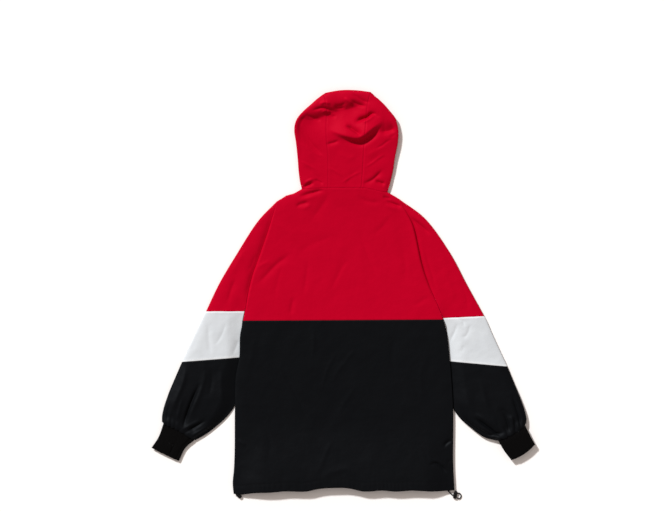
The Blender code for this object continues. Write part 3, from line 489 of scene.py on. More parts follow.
# Creases of the top layer of hood and body. Depth is negative in a trough; left and right are its
# widths on either side of the line, which runs through the points (across, down).
Crease = namedtuple("Crease", "depth left right points")
TOP_CREASES = [
    # slump below the crown
    Crease(-15.5, 16, 44, [(-153, -192), (-130, -185), (-107, -178), (-86, -176), (-62, -183),
                           (-39, -192), (-16, -199), (8, -204), (31, -211), (55, -221), (86, -234)]),
    # crinkles at its left end
    Crease(-3.6, 4, 4.5, [(-104, -191), (-91, -186), (-75, -179), (-60, -177)]),
    Crease(-5.6, 4, 4, [(-88, -199), (-73, -205), (-57, -208), (-39, -203), (-23, -199)]),
    Crease(3.6, 3.6, 3.6, [(-68, -216), (-52, -222), (-36, -216)]),
    Crease(3.4, 3.4, 3.4, [(-62, -196), (-49, -200), (-36, -195)]),
    Crease(-3.6, 4, 4.5, [(-49, -192), (-36, -186), (-21, -187)]),
    Crease(-2.6, 4, 4, [(-29, -221), (-18, -214), (-5, -217), (5, -225)]),
    Crease(3.2, 4, 3.4, [(-3, -235), (10, -225), (21, -214)]),
    Crease(-4.2, 4, 4, [(13, -230), (29, -220), (44, -214), (60, -214)]),
    Crease(-4, 5, 4, [(-31, -213), (-16, -207), (3, -211)]),
    # the ledge over the crescent
    Crease(12, 30, 6.5, [(-47, -156), (-29, -146), (-10, -139), (10, -133), (31, -130), (47, -136),
                         (65, -150), (83, -165), (101, -178)]),
    # the crescent's foot
    Crease(-8.5, 5, 8, [(-21, -136), (0, -127), (21, -120), (42, -117), (60, -126), (78, -140),
                        (91, -156), (101, -172)]),
    Crease(-9, 7, 3, [(-1, -162), (13, -155), (29, -144), (44, -134)]),
    Crease(-4.5, 8, 6, [(21, -168), (39, -176), (57, -183), (78, -187), (96, -185)]),
    # crinkle at the right seam
    Crease(-8.5, 5, 4, [(26, -168), (42, -178), (57, -183), (68, -192), (86, -192)]),
    Crease(4.2, 4.5, 4.5, [(39, -168), (57, -176), (73, -186), (86, -185)]),
    Crease(-9, 17, 8, [(86, -148), (104, -147), (120, -151), (135, -164)]),
    Crease(-3.8, 6, 10, [(-133, -177), (-114, -151), (-94, -124), (-73, -100), (-49, -78)]),
    Crease(1.6, 8, 8, [(-125, -130), (-101, -99), (-75, -68)]),
    Crease(-3.6, 4, 5, [(-52, -113), (-36, -116), (-23, -120), (-13, -126)]),
    Crease(-1.8, 8, 7, [(-109, -60), (-88, -43), (-73, -29), (-52, -13)]),
    Crease(-3, 3, 3.5, [(-81, -22), (-68, -17), (-55, -9)]),
    Crease(-6.5, 4, 4, [(-120, 1), (-104, -4), (-91, -10), (-78, -14)]),
    Crease(2.4, 3, 3.5, [(-107, -12), (-91, -20), (-78, -23)]),
    Crease(-4.2, 4, 7, [(42, -10), (55, -14), (70, -21), (83, -32), (101, -51)]),
    Crease(-6, 4, 4.5, [(77, -20), (91, -14), (107, -9)]),
    Crease(-3.4, 4, 4, [(112, 5), (114, -8), (122, -26)]),
    Crease(-2.4, 4, 4, [(13, -254), (23, -243), (36, -233), (52, -225), (70, -220)]),
    Crease(-1.6, 5, 5, [(114, -130), (127, -136), (138, -140)]),
    Crease(1.2, 8, 9, [(49, -78), (75, -94), (112, -114)]),
    Crease(-1, 8, 8, [(52, -57), (81, -73), (117, -83)]),
    Crease(-1, 8, 7, [(0, -5), (16, -29), (31, -49)]),
    Crease(1, 9, 9, [(-23, -94), (8, -78), (36, -83)]),
    Crease(1.1, 2.6, 3.4, [(-120, -72), (-104, -64), (-88, -55), (-70, -44)]),
    Crease(1.2, 2.8, 3.6, [(-47, -56), (-31, -47), (-16, -38), (-3, -26)]),
    Crease(1.2, 3.6, 2.6, [(-13, -10), (5, -22), (26, -35), (47, -43)]),
    Crease(1.4, 3.4, 2.8, [(49, -53), (65, -61), (83, -74), (107, -91)]),
    Crease(-1.6, 3, 3.4, [(75, -100), (94, -109), (112, -122), (127, -126)]),
    Crease(1.2, 2.8, 3.2, [(-109, -117), (-88, -98), (-70, -86), (-52, -81)]),
    # across the left shoulder
    Crease(-5, 4, 5, [(-122, 23), (-104, 18), (-86, 13), (-68, 8), (-49, 5)]),
    Crease(1.4, 5, 6, [(-127, 34), (-101, 29), (-70, 20)]),
    Crease(-3.6, 4, 4.5, [(-129, 51), (-120, 44), (-107, 40), (-91, 36)]),
    Crease(1.2, 4, 5, [(-117, 56), (-101, 51), (-86, 42)]),
    # from the neck
    Crease(-1.7, 12, 9, [(-36, 8), (-52, 34), (-70, 60), (-91, 88)]),
    Crease(-1.6, 7, 6, [(31, 21), (55, 34), (81, 38), (101, 35)]),
    Crease(-3.6, 3.5, 4, [(96, 22), (109, 26), (122, 26)]),
    # across the right shoulder
    Crease(-5, 4, 4.5, [(104, 31), (120, 39), (133, 44), (150, 49)]),
    Crease(1.4, 5, 5, [(101, 42), (120, 51), (138, 56)]),
    # pulled to the left underarm
    Crease(-2.6, 8, 7, [(-135, 164), (-156, 182), (-177, 198), (-195, 216), (-216, 239), (-231, 257)]),
    Crease(1.3, 5, 7, [(-231, 213), (-213, 198), (-190, 191)]),
    Crease(-1, 8, 12, [(-21, 125), (-60, 135), (-96, 153), (-127, 177)]),
    Crease(-1, 5, 8, [(21, 187), (0, 195), (-13, 218), (-29, 250), (-39, 273)]),
    Crease(-1, 6, 6, [(-94, 179), (-99, 218), (-104, 255), (-109, 286)]),
    Crease(-1.8, 6, 5, [(-133, 281), (-138, 304), (-142, 335)]),
    Crease(-1, 8, 7, [(29, 99), (44, 135), (57, 172), (70, 203), (94, 242)]),
    Crease(-0.9, 6, 8, [(-161, 192), (-174, 239), (-185, 296)]),
    Crease(-1, 6, 6, [(177, 309), (198, 294), (224, 283)]),
    Crease(-0.9, 7, 7, [(122, 68), (99, 99), (68, 125)]),
    Crease(0.9, 9, 10, [(-195, 88), (-153, 109), (-117, 143)]),
    Crease(-0.8, 8, 8, [(143, 135), (156, 192), (153, 255)]),
    # long crease of the lower back
    Crease(-1, 3, 4, [(-169, 447), (-153, 484), (-138, 515), (-120, 551), (-101, 590), (-86, 627)]),
    Crease(0.8, 6, 6, [(42, 408), (16, 432), (-5, 458), (-26, 489), (-39, 523)]),
    Crease(0.7, 5, 5, [(-16, 419), (-36, 452), (-52, 489), (-62, 533)]),
    Crease(0.9, 5, 6, [(-83, 359), (-81, 408), (-88, 450)]),
    Crease(0.8, 7, 7, [(34, 507), (3, 551), (-23, 595)]),
    Crease(0.9, 6, 8, [(-29, 645), (-55, 702), (-73, 751)]),
    # tick at the right hem
    Crease(-5, 3, 4, [(217, 722), (229, 715), (239, 716), (251, 725), (260, 734), (270, 740)]),
    Crease(1.4, 4, 4, [(224, 708), (244, 711), (263, 727)]),
    Crease(-0.9, 4, 4, [(198, 673), (213, 697), (221, 712)]),
    Crease(-4.6, 4, 3, [(255, 675), (263, 664), (273, 658), (286, 656)]),
    Crease(-1.6, 3, 3, [(263, 714), (273, 710), (283, 711)]),
    Crease(1.4, 3, 4, [(-281, 655), (-270, 660), (-257, 671)]),
    Crease(0.9, 10, 10, [(-226, 369), (-242, 426), (-252, 489)]),
    Crease(-0.7, 9, 9, [(138, 369), (120, 437), (138, 510)]),
    Crease(0.8, 9, 9, [(216, 421), (195, 499), (213, 577)]),
    Crease(-0.7, 8, 9, [(-216, 603), (-195, 660), (-205, 723)]),
    Crease(1, 9, 7, [(-70, 759), (-34, 738), (5, 731), (39, 749)]),
]


def read(table, key, name, x):
    """Column name of a table, read smoothly where its key column is x."""
    keys, values = column(table, key), column(table, name)
    order = np.argsort(keys)
    return smooth(x, keys[order], values[order])


def side_line(side, downs):
    """Points of a side's armhole seam and side fold, at the given places down the jacket."""
    downs = np.asarray(downs, float)
    return np.stack([read(SIDES[side], "down", "across", downs), downs], axis=-1)


def sleeve_point(side, at, name):
    """A column of a sleeve's table where its section number is at, with a corner at the cuff's seam."""
    rings = SLEEVES[side]
    cuff = [ring for ring in rings if ring.at >= CUFF_AT]
    return np.where(at > CUFF_AT, read(cuff, "at", name, at), read(rings, "at", name, at))


def outline(side):
    """The fold all along one side: crown, hood, shoulder and the sleeve's outer edge."""
    downs = np.linspace(-246, -4, 60)
    crown = [[5.0, CROWN], [read(HOOD, "down", side, -249.0), -249.5]]
    hood = np.stack([read(HOOD, "down", side, downs), downs], axis=-1)
    shoulder = np.array([[p.across, p.down] for p in SHOULDERS[side]])
    ats = np.linspace(0.04, 4, 80)
    outer = np.stack([sleeve_point(side, ats, name) for name in ("outer_across", "outer_down")], axis=-1)
    return np.concatenate([crown, hood, shoulder, outer])


def nearest(points, line):
    """For each point (across, down), its distance from a line of straight pieces, positive on the line's
    left, and its place along the line from 0 to 1."""
    flat = points.reshape(-1, 2)
    best = np.full(len(flat), 1e9)
    signed, share = np.zeros(len(flat)), np.zeros(len(flat))
    lengths = along(line)
    for start, end, first, last in zip(line[:-1], line[1:], lengths[:-1], lengths[1:]):
        step = end - start
        away = flat - start
        t = np.clip(away @ step / max(step @ step, 1e-9), 0, 1)
        gap = np.hypot(*(away - t[:, None] * step).T)
        closer = gap < best
        best = np.where(closer, gap, best)
        sign = np.where(away[:, 0] * step[1] - away[:, 1] * step[0] < 0, -1.0, 1.0)
        signed = np.where(closer, sign * gap, signed)
        share = np.where(closer, (first + t * (last - first)) / lengths[-1], share)
    return signed.reshape(points.shape[:-1]), share.reshape(points.shape[:-1])


def distance(points, line):
    """How far each point is from a line, on either side."""
    return np.abs(nearest(points, line)[0])


def rounded(d, reach):
    """0 on a fold, rising as a quarter circle to 1 at reach."""
    return np.sqrt(1 - (1 - np.clip(d / reach, 0, 1)) ** 2)


def eased(t):
    """0 up to t = 0 and 1 from t = 1, with a soft step between."""
    t = np.clip(t, 0, 1)
    return t * t * (3 - 2 * t)


def falling(d, reach):
    """1 on a fold, falling in a hollow curve to 0 at reach."""
    return (1 - np.clip(d / reach, 0, 1)) ** 1.6


def creased(points, creases):
    """Height added by creases: each is a bell of its own width on either side of its line, and tapers to
    nothing over the first and last third of it."""
    added = np.zeros(points.shape[:-1])
    for crease in creases:
        line = curve_through(crease.points, 5 * len(crease.points))
        margin = 2.6 * max(crease.left, crease.right)
        low, high = line.min(0) - margin, line.max(0) + margin
        near = ((points > low) & (points < high)).all(-1)
        if not near.any():
            continue
        away, share = nearest(points[near], line)
        width = np.where(away > 0, crease.left, crease.right)
        taper = eased(share / 0.34) * eased((1 - share) / 0.34)
        added[near] += crease.depth * taper * np.exp(-(np.abs(away / width) ** SHARPNESS))
    return added


def rumpled(points, size, depth, seed):
    """Soft uneven waves: sines in seeded directions, each bent by a slower one, with pinched crests."""
    chance = np.random.default_rng(seed)
    total = np.zeros(points.shape[:-1])
    for _ in range(9):
        angle, length = chance.uniform(0, np.pi), size * chance.uniform(0.7, 2.0)
        phase, bend = chance.uniform(0, 2 * np.pi, 2)
        ahead = points @ [np.cos(angle), np.sin(angle)]
        aside = points @ [-np.sin(angle), np.cos(angle)]
        bent = 1.6 * np.sin(2 * np.pi * aside / (2.6 * length) + bend)
        wave = np.sin(2 * np.pi * ahead / length + bent + phase)
        total += wave * (0.6 + 0.4 * np.sin(2 * np.pi * aside / (3.7 * length) + phase))
    return depth * total / 3


# The cloth dips into each armhole seam, steeply on the back's side of it.
ARMHOLES = [
    Crease(-4.6, 2.2, 8.5, side_line("left", np.linspace(24, 345, 12))),
    Crease(-5.0, 4.2, 2.4, side_line("right", np.linspace(12, 318, 12))),
    Crease(2.6, 2.6, 9.0, side_line("right", np.linspace(44, 232, 9)) - [4.0, 0.0]),
]
OUTLINES = {side: outline(side) for side in SIDES}
SIDE_FOLDS = {side: side_line(side, np.linspace(UNDERARM[side], 796, 60)) for side in SIDES}


def fold_distances(points):
    """How far each point is from the nearer outer fold, and from the nearer side fold."""
    outer = np.minimum(distance(points, OUTLINES["left"]), distance(points, OUTLINES["right"]))
    side = np.minimum(distance(points, SIDE_FOLDS["left"]), distance(points, SIDE_FOLDS["right"]))
    return outer, side


def top_height(points):
    """Inner face of the top layer of body and hood: a level that rounds down to each fold, creased, and
    lifted off the front towards the middle of the hem."""
    height, fold, reach = (read(LOFT, "down", name, points[..., 1]) for name in Loft._fields[1:])
    outer, side = fold_distances(points)
    level = height - (height - fold - FOLD_PART) * (1 - rounded(outer, reach))
    level = level - (height - SIDE_FOLD - FOLD_PART) * (1 - rounded(side, SIDE_REACH))
    inside = eased(np.minimum(outer, side) / 14)
    level = level + HEM_LIFT * eased((points[..., 1] - LIFT_FROM) / LIFT_RUN) * eased(side / LIFT_EDGE)
    folded = level + (creased(points, TOP_CREASES + ARMHOLES) + rumpled(points, 46, 0.28, 3)) * inside
    return np.maximum(folded, LEAST_HEIGHT)


def under_height(points):
    """Inner face of the under layer, flat on the floor away from the folds."""
    fold = read(LOFT, "down", "fold", points[..., 1])
    outer, side = fold_distances(points)
    lift = (fold - FOLD_PART - FLOOR_GAP) * falling(outer, UNDER_REACH)
    return FLOOR_GAP + lift + (SIDE_FOLD - FOLD_PART - FLOOR_GAP) * falling(side, UNDER_REACH)


def stops(length, step, first=0.7):
    """Distances from 0 to length, a step apart in the middle and closer together towards both ends."""
    near = np.cumsum(first * 1.35 ** np.arange(30))
    near = np.concatenate([[0], near[np.diff(near, prepend=0) < step]])
    near = near[near < length / 2 - step / 2]
    count = max(2, int(round((length - 2 * near[-1]) / step)) + 1)
    middle = np.linspace(near[-1], length - near[-1], count)
    return np.concatenate([near[:-1], middle, length - near[-2::-1]])


def resampled(line, shares):
    """Points at the given shares of a line's length."""
    line = np.asarray(line, float)
    lengths = along(line) / along(line)[-1]
    return np.stack([np.interp(shares, lengths, line[:, k]) for k in range(line.shape[1])], axis=-1)


def patch(bottom, top, left, right, step):
    """A grid between four lines, about step apart: each point is pulled by all four lines, less its share
    of the corners."""
    width = max(along(bottom)[-1], along(top)[-1])
    length = max(along(left)[-1], along(right)[-1])
    across, up = stops(width, step) / width, stops(length, step) / length
    bottom, top = resampled(bottom, across), resampled(top, across)
    left, right = resampled(left, up), resampled(right, up)
    u, v = across[None, :, None], up[:, None, None]
    ruled = (1 - v) * bottom + v * top + (1 - u) * left[:, None] + u * right[:, None]
    corners = (1 - v) * ((1 - u) * bottom[0] + u * bottom[-1]) + v * ((1 - u) * top[0] + u * top[-1])
    return ruled - corners


def rim_distances(grid):
    """Distance along the cloth from each point to the grid's first and last rows and columns."""
    down = np.linalg.norm(np.diff(grid, axis=0), axis=-1)
    side = np.linalg.norm(np.diff(grid, axis=1), axis=-1)
    rows = np.concatenate([np.zeros((1, grid.shape[1])), np.cumsum(down, axis=0)])
    columns = np.concatenate([np.zeros((grid.shape[0], 1)), np.cumsum(side, axis=1)], axis=1)
    return rows, rows[-1:] - rows, columns, columns[:, -1:] - columns


def seamed(d, run, seed):
    """Height beside a sewn seam: a groove at the stitches, the turned edges' ridge next to it, and an
    uneven pucker along it that dies away into the cloth."""
    groove = -0.45 * bell(d, 1.0) + 0.22 * bell(d - 4.0, 2.4)
    gather = np.sin(run / 4.1 + 2.0 * np.sin(run / 23 + seed)) * (0.6 + 0.4 * np.sin(run / 57 + 2 * seed))
    return groove + 0.12 * gather * np.exp(-d / 7)


def drawn_in(grid, around=False):
    """A grid with its rims drawn back from their seams by half a hair's breadth."""
    grid = grid.copy()
    views = [grid, grid[::-1]]
    if not around:
        turned = grid.swapaxes(0, 1)
        views += [turned, turned[::-1]]
    for view in views:
        view[0] += unit(view[1] - view[0]) * SEAM_HALF
    return grid


def raised(flat, height):
    """Flat points (across, down) and a height for each, as points in space."""
    return np.concatenate([flat, height[..., None]], axis=-1)


def cloth(name, grid, material, turn=False, around=False, wall=SHELL):
    """A cloth piece on the grid of its inner face, thickened outwards; turn swaps its two faces."""
    rows, rows_back, columns, columns_back = rim_distances(grid)
    uv = np.stack([rows, columns], axis=-1) * MM
    rims = [rows, rows_back] if around else [rows, rows_back, columns, columns_back]
    points = placed(drawn_in(grid, around))
    facts = {"seam": np.minimum.reduce(rims)}
    if turn:
        points, uv = points[:, ::-1], uv[:, ::-1]
        facts = {fact: values[:, ::-1] for fact, values in facts.items()}
    piece = surface(name, points, uv, around, facts)
    piece.data.materials.append(material)
    wall_of = piece.modifiers.new("wall", "SOLIDIFY")
    wall_of.thickness = wall * MM
    wall_of.offset = 1
    wall_of.use_even_offset = False
    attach(piece, "root")
    return piece


def cut_size(grid, around=False, wide_row=None):
    """Width, length and area of a piece's cut, in metres, measured over its grid. A tube is opened out; its
    width is its widest section's or, if its ends slant, that of the row that wide_row numbers."""
    rows, _, columns, _ = rim_distances(grid)
    ends = np.concatenate([grid, grid[:, :1]], axis=1) if around else grid
    widths = np.linalg.norm(np.diff(ends, axis=1), axis=-1).sum(axis=1)
    width, length = widths.max() if wide_row is None else widths[wide_row], rows[-1].max()
    one, two = np.diff(ends, axis=0)[:, :-1], np.diff(ends, axis=1)[:-1]
    area = np.linalg.norm(np.cross(one, two), axis=-1).sum()
    return (width * MM, length * MM), min(area, width * length) * MM * MM


def laid(grid, around=False, wide_row=None):
    """Works out how large a cloth piece was cut, over its grid; the result is not kept or used."""
    size, area = cut_size(grid, around, wide_row)


def nylon(name, dark, light, shine, tint, turned=0.15):
    """Woven nylon: fine crossed threads, a faint slub along them, and a colour that lightens by turned
    where the seams' edges lie double under it."""
    finish = Finish(name, {"Specular IOR Level": shine, "Specular Tint": (*tint, 1), "Sheen Weight": 0.0})
    cut, place = finish.cut(), finish.place()
    slub = finish.noise(finish.stretched(cut, (260, 2600, 1)), 1.0, 2.0)
    weft = finish.noise(finish.stretched(cut, (2600, 260, 1)), 1.0, 2.0)
    cloud = finish.noise(place, 9.0, 4.0, 0.55)
    edge = finish.ramp(finish.fact("seam") / 10.0, (0.0, 0.3), (0.08, 1.0), (0.45, 0.9), (0.62, 0.0))
    mix = cloud * 0.35 + slub * 0.15 + weft * 0.1 + edge * turned + 0.1
    finish.coloured(mix, dark, light)
    finish.shaded(Roughness=0.5 + cloud * 0.12 - slub * 0.08)
    crumple = finish.noise(place, 42.0, 2.5, 0.45)
    threads = (slub + weft) * 0.5
    finish.bumped(crumple * 0.7 + threads * 0.12, 0.0014)
    return finish.material


RED = nylon("red_nylon", (0.375, 0.0001, 0.012), (0.445, 0.0003, 0.018), 0.10, (1.0, 0.1, 0.2))


def shoulder_line(side):
    """From the top of the armhole to the neck."""
    return curve_through([[p.across, p.down] for p in SHOULDERS[side][::-1]], 24)


def neck_half(side):
    """The back neck seam from the neck's corner to the hood's seam."""
    corner = SHOULDERS[side][0]
    seam = HOOD[0].left_seam if side == "left" else HOOD[0].right_seam
    t = np.linspace(0, 1, 20)
    return np.stack([corner.across + t * (seam - corner.across), corner.down * (1 - eased(t))], axis=-1)


def side_run(side, first, last):
    """A side's line from one place down the jacket to another."""
    return side_line(side, np.linspace(first, last, 80))


def upper_back():
    """Inner face of the red back, from the colour seam up to the neck: the top layer's height and a
    seam's groove and pucker along all four edges."""
    bottom = np.array([side_line(side, [COLOUR_SEAM[side]])[0] for side in SIDES])
    top = np.concatenate([shoulder_line("left")[:-1], neck_half("left"), neck_half("right")[::-1],
                          shoulder_line("right")[::-1][1:]])
    left, right = (side_run(side, COLOUR_SEAM[side], SIDES[side][0].down) for side in SIDES)
    flat = patch(bottom, top, left, right, BACK_STEP)
    rows, rows_back, columns, columns_back = rim_distances(flat)
    height = top_height(flat) + seamed(rows, columns, 1.0) + seamed(rows_back, columns, 2.0)
    height = height + seamed(columns, rows, 3.0) + seamed(columns_back, rows, 4.0)
    return raised(flat, height)


grid_upper = upper_back()
piece = cloth("upper_back", grid_upper, RED)
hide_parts("back_upper")
laid(grid_upper)

# ======================================================================= lower back
# The black panel below the colour seam. Its hem is turned up into a casing, stitched 22 mm above the
# edge, and the elastic inside it gathers the hem unevenly.
CASING = 22.0
GATHER_PITCH = 13.0     # about how far apart the gathers of hem and cuffs are
HEM_GATHER = 0.75
Hem = namedtuple("Hem", "across down")
HEM = [
    Hem(-292, 794), Hem(-267, 795.6), Hem(-239, 792.2), Hem(-186, 789.9), Hem(-162, 787.5),
    Hem(-93, 786.2), Hem(-74, 781.8), Hem(-35, 778.2), Hem(0, 778.2), Hem(23, 781.8), Hem(40, 786.2),
    Hem(103, 785.2), Hem(126, 787.5), Hem(173, 785.2), Hem(233, 787.5), Hem(285, 784.7),
]
BLACK = nylon("black_nylon", (0.0013, 0.0016, 0.0022), (0.0034, 0.0038, 0.0047), 0.06, (0.85, 0.92, 1.0))


def gathers(run, seed, pitch=GATHER_PITCH):
    """Uneven folds side by side, as where cloth is drawn up on a cord or a cuff."""
    bent = run / pitch + 1.3 * np.sin(run / (5.3 * pitch) + seed)
    bent = bent + 0.7 * np.sin(run / (2.1 * pitch) + 2 * seed)
    size = 0.6 + 0.25 * np.sin(run / (3.4 * pitch) + 3 * seed) + 0.15 * np.sin(run / (1.7 * pitch) + seed)
    return (np.abs(np.sin(bent * np.pi)) ** 0.8 - 0.6) * size


def turned_edge(d):
    """A turned edge, rounding down over its last few millimetres."""
    return -1.7 * (1 - rounded(d, 3.0))


def lower_back():
    """Inner face of the black back, from the hem up to the colour seam: the top layer's height, a groove at
    the casing's stitches, and gathers that are highest in the casing and die away above it."""
    left, right = (side_run(side, SIDES[side][-1].down, COLOUR_SEAM[side]) for side in SIDES)
    across = np.linspace(left[0, 0], right[0, 0], 240)
    bottom = np.stack([across, read(HEM, "across", "down", across)], axis=-1)
    bottom[0], bottom[-1] = left[0], right[0]
    top = np.array([left[-1], right[-1]])
    flat = patch(bottom, top, left, right, BACK_STEP)
    rows, rows_back, columns, columns_back = rim_distances(flat)
    height = top_height(flat) + seamed(rows_back, columns, 5.0) + turned_edge(rows)
    height = height - 0.35 * bell(rows - CASING, 1.2)
    casing = bell(rows - CASING / 2, 9.5) + 0.35 * np.exp(-rows / 45)
    drawn = HEM_GATHER * gathers(columns, 1.7) * casing * eased(columns / 20) * eased(columns_back / 20)
    return raised(flat, height + drawn)


grid_lower = lower_back()
piece = cloth("lower_back", grid_lower, BLACK)
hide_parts("back_lower")
laid(grid_lower)

# ======================================================================= fronts
# Two red and two black panels under the back, face down on the floor, with the zip between them. The
# neckline curves down to the zip, and each panel rounds up to a fold at the shoulder and the side.
ZIP_HALF = 5.2
FRONT_SEAM = 344.0
FRONT_HEM = 780.0
HEM_RISE = 12.0
NECK_FRONT = 75.0
FRONT_STEP = 5.0
FRONT_CREASES = [
    Crease(1.6, 9, 12, [(-220, 240), (-170, 215), (-110, 205), (-60, 212)]),
    Crease(1.3, 12, 8, [(-150, 90), (-120, 140), (-105, 200)]),
    Crease(1.8, 8, 10, [(205, 250), (150, 232), (90, 236)]),
    Crease(1.2, 10, 9, [(140, 90), (118, 150), (108, 216)]),
    Crease(1.4, 10, 13, [(-240, 420), (-170, 452), (-110, 520), (-80, 600)]),
    Crease(1.1, 8, 8, [(-60, 400), (-48, 480), (-55, 570)]),
    Crease(1.5, 11, 8, [(236, 410), (180, 470), (120, 500), (70, 560)]),
    Crease(1.0, 9, 9, [(150, 600), (160, 670), (140, 740)]),
    Crease(1.2, 7, 7, [(-200, 640), (-190, 700), (-205, 755)]),
]


def under_grid(flat):
    """The under layer on the floor, its soft folds standing up into the jacket."""
    outer, side = fold_distances(flat)
    inside = eased(np.minimum(outer, side) / 30)
    lifted = np.maximum(creased(flat, FRONT_CREASES), 0) * inside
    return raised(flat, under_height(flat) + lifted)


def front_line(side, down, middle_down):
    """A straight line from the side to the zip, given its places down the jacket."""
    return np.array([side_line(side, [down])[0], [SIGN[side] * ZIP_HALF, middle_down]])


def neckline(side):
    """The front neckline from the neck's corner down to the centre front."""
    corner = SHOULDERS[side][0]
    middle = SIGN[side] * ZIP_HALF
    turn = np.linspace(0, 1, 30) ** 1.6 * np.pi / 2
    across = middle + (corner.across - middle) * np.cos(turn)
    return np.stack([across, corner.down + (NECK_FRONT - corner.down) * np.sin(turn)], axis=-1)


def straight(start, end):
    """A straight line of points."""
    return np.linspace(start, end, 30)


for side in SIDES:
    seam, hem = COLOUR_SEAM[side], SIDES[side][-1].down - HEM_RISE
    bottom = front_line(side, seam, FRONT_SEAM)
    top = np.concatenate([shoulder_line(side)[:-1], neckline(side)])
    armhole, zip_edge = side_run(side, seam, SIDES[side][0].down), straight(bottom[-1], top[-1])
    upper = patch(bottom, top, armhole, zip_edge, FRONT_STEP)
    base = front_line(side, hem, FRONT_HEM)
    lower = patch(base, bottom, side_run(side, hem, seam), straight(base[-1], bottom[-1]), FRONT_STEP)
    panels = {"upper": (upper, RED, "red_shell"), "lower": (lower, BLACK, "black_shell")}
    for name, (flat, material, slot) in panels.items():
        grid = under_grid(flat)
        piece = cloth(name + "_front_" + side, grid, material, turn=side == "left")
        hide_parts(f"front_{name}_{side}")
        laid(grid)

# ======================================================================= hood
# Two side panels and a centre panel of the same red nylon. Each side panel runs from its upper seam out
# to a fold and back under to the face opening; the centre one runs over the crown. It slumps in on
# itself below the crown, in one long crescent with small crinkles at the seams.
CrownPoint = namedtuple("CrownPoint", "across top_down under_across under_down")
CROWN_POINTS = [
    CrownPoint(-50.0, -246.5, -57, -242), CrownPoint(-11.3, -253, -14, -246),
    CrownPoint(27.3, -253, 29, -246), CrownPoint(66.0, -248.5, 72, -243),
]
Opening = namedtuple("Opening", "at left right down")
OPENING = [
    Opening(0.0, -7, 7, 75), Opening(0.15, -19, 19, 40), Opening(0.4, -30, 31, -20),
    Opening(0.7, -36, 38, -100), Opening(1.0, -33, 40, -186),
]
HOOD_DOWNS = column(HOOD, "down")[:-1]
HOOD_STEP = 1.8
HOOD_UNDER_STEP = 4.0
HOOD_SIDE_WIDTH = 74.0      # these lengths set how many points a panel has
HOOD_SIDE_UNDER = 84.0
HOOD_CENTRE_WIDTH = 96.0
HOOD_CENTRE_UNDER = 60.0
NECK_BLEND = 36.0
CROWN_FROM = -226.0     # from here up the side panels draw in to the crown's corners


def hood_rows():
    """Places down the jacket of the hood's rows, from the neck to the crown."""
    return -stops(-HOOD_DOWNS[-1], HOOD_STEP)


def hood_side(side):
    """Rows from the neck to the crown; each runs from the upper seam out to the fold and back under. The
    top has its layer's height and a seam's groove along neck and upper seam; the under part lies flat."""
    top_shares = stops(HOOD_SIDE_WIDTH, HOOD_STEP) / HOOD_SIDE_WIDTH
    under_shares = stops(HOOD_SIDE_UNDER, HOOD_UNDER_STEP)[1:] / HOOD_SIDE_UNDER
    downs = hood_rows()[:, None]
    at = np.interp(downs, HOOD_DOWNS[::-1], np.linspace(1, 0, len(HOOD_DOWNS)))
    seam, edge = read(HOOD, "down", side + "_seam", downs), read(HOOD, "down", side, downs)
    top = np.stack(np.broadcast_arrays(seam + top_shares * (edge - seam), downs), axis=-1)
    rim = np.stack([read(OPENING, "at", side, at), read(OPENING, "at", "down", at)], axis=-1)
    under = top[:, -1:] + under_shares[None, :, None] * (rim - top[:, -1:])
    neck_top = resampled(neck_half(side)[::-1], top_shares)
    neck_under = resampled(neckline(side), under_shares)
    corner = CROWN_POINTS[0] if side == "left" else CROWN_POINTS[-1]
    reach = [corner.across, corner.top_down] - top[-1, -1]
    closing = np.clip((CROWN_FROM - downs) / (CROWN_FROM - downs[-1]), 0, 1)[..., None] ** 2
    top = top + closing * top_shares[:, None] * reach
    under = under + closing * (1 - under_shares[:, None]) * reach
    fade = np.clip(1 + downs / NECK_BLEND, 0, 1)[..., None] ** 2
    top = top + fade * (neck_top - top[:1])
    under = under + fade * (neck_under - under[:1])
    rows, _, columns, _ = rim_distances(top)
    height = top_height(top) + seamed(rows, columns, 6.0 + SIGN[side])
    height = height + seamed(columns, rows, 7.0 + SIGN[side])
    return np.concatenate([raised(top, height), raised(under, under_height(under))], axis=1)


def hood_centre():
    """Rows from the back neck over the crown to the top of the face opening, with a seam's groove along
    the neck and both upper seams."""
    shares = stops(HOOD_CENTRE_WIDTH, HOOD_STEP) / HOOD_CENTRE_WIDTH
    downs = hood_rows()[:, None]
    ends = read(HOOD, "down", "left_seam", downs), read(HOOD, "down", "right_seam", downs)
    top = np.stack(np.broadcast_arrays(ends[0] + shares * (ends[1] - ends[0]), downs), axis=-1)
    marks = np.linspace(0, 1, len(CROWN_POINTS))
    crown, start = (np.stack([smooth(shares, marks, column(CROWN_POINTS, name)) for name in names], axis=-1)
                    for names in (("across", "top_down"), ("under_across", "under_down")))
    over = np.linspace(0, 1, 8)[1:, None, None]
    top = np.concatenate([top, top[-1] + over * (crown - top[-1])])
    left, right, down = (read(OPENING, "at", name, 1.0) for name in ("left", "right", "down"))
    rim = np.stack([left + shares * (right - left), np.full(len(shares), down)], axis=-1)
    down_shares = stops(HOOD_CENTRE_UNDER, HOOD_UNDER_STEP) / HOOD_CENTRE_UNDER
    under = start + down_shares[:, None, None] * (rim - start)
    rows, _, columns, columns_back = rim_distances(top)
    height = top_height(top) + seamed(rows, columns, 9.0)
    height = height + seamed(columns, rows, 6.0) + seamed(columns_back, rows, 8.0)
    return np.concatenate([raised(top, height), raised(under, under_height(under))])


hood_grids = {"left": hood_side("left"), "right": hood_side("right"), "centre": hood_centre()}
for name, grid in hood_grids.items():
    piece = cloth("hood_" + name + "_panel", grid, RED, turn=name == "left")
    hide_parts("hood_" + name)
    laid(grid)

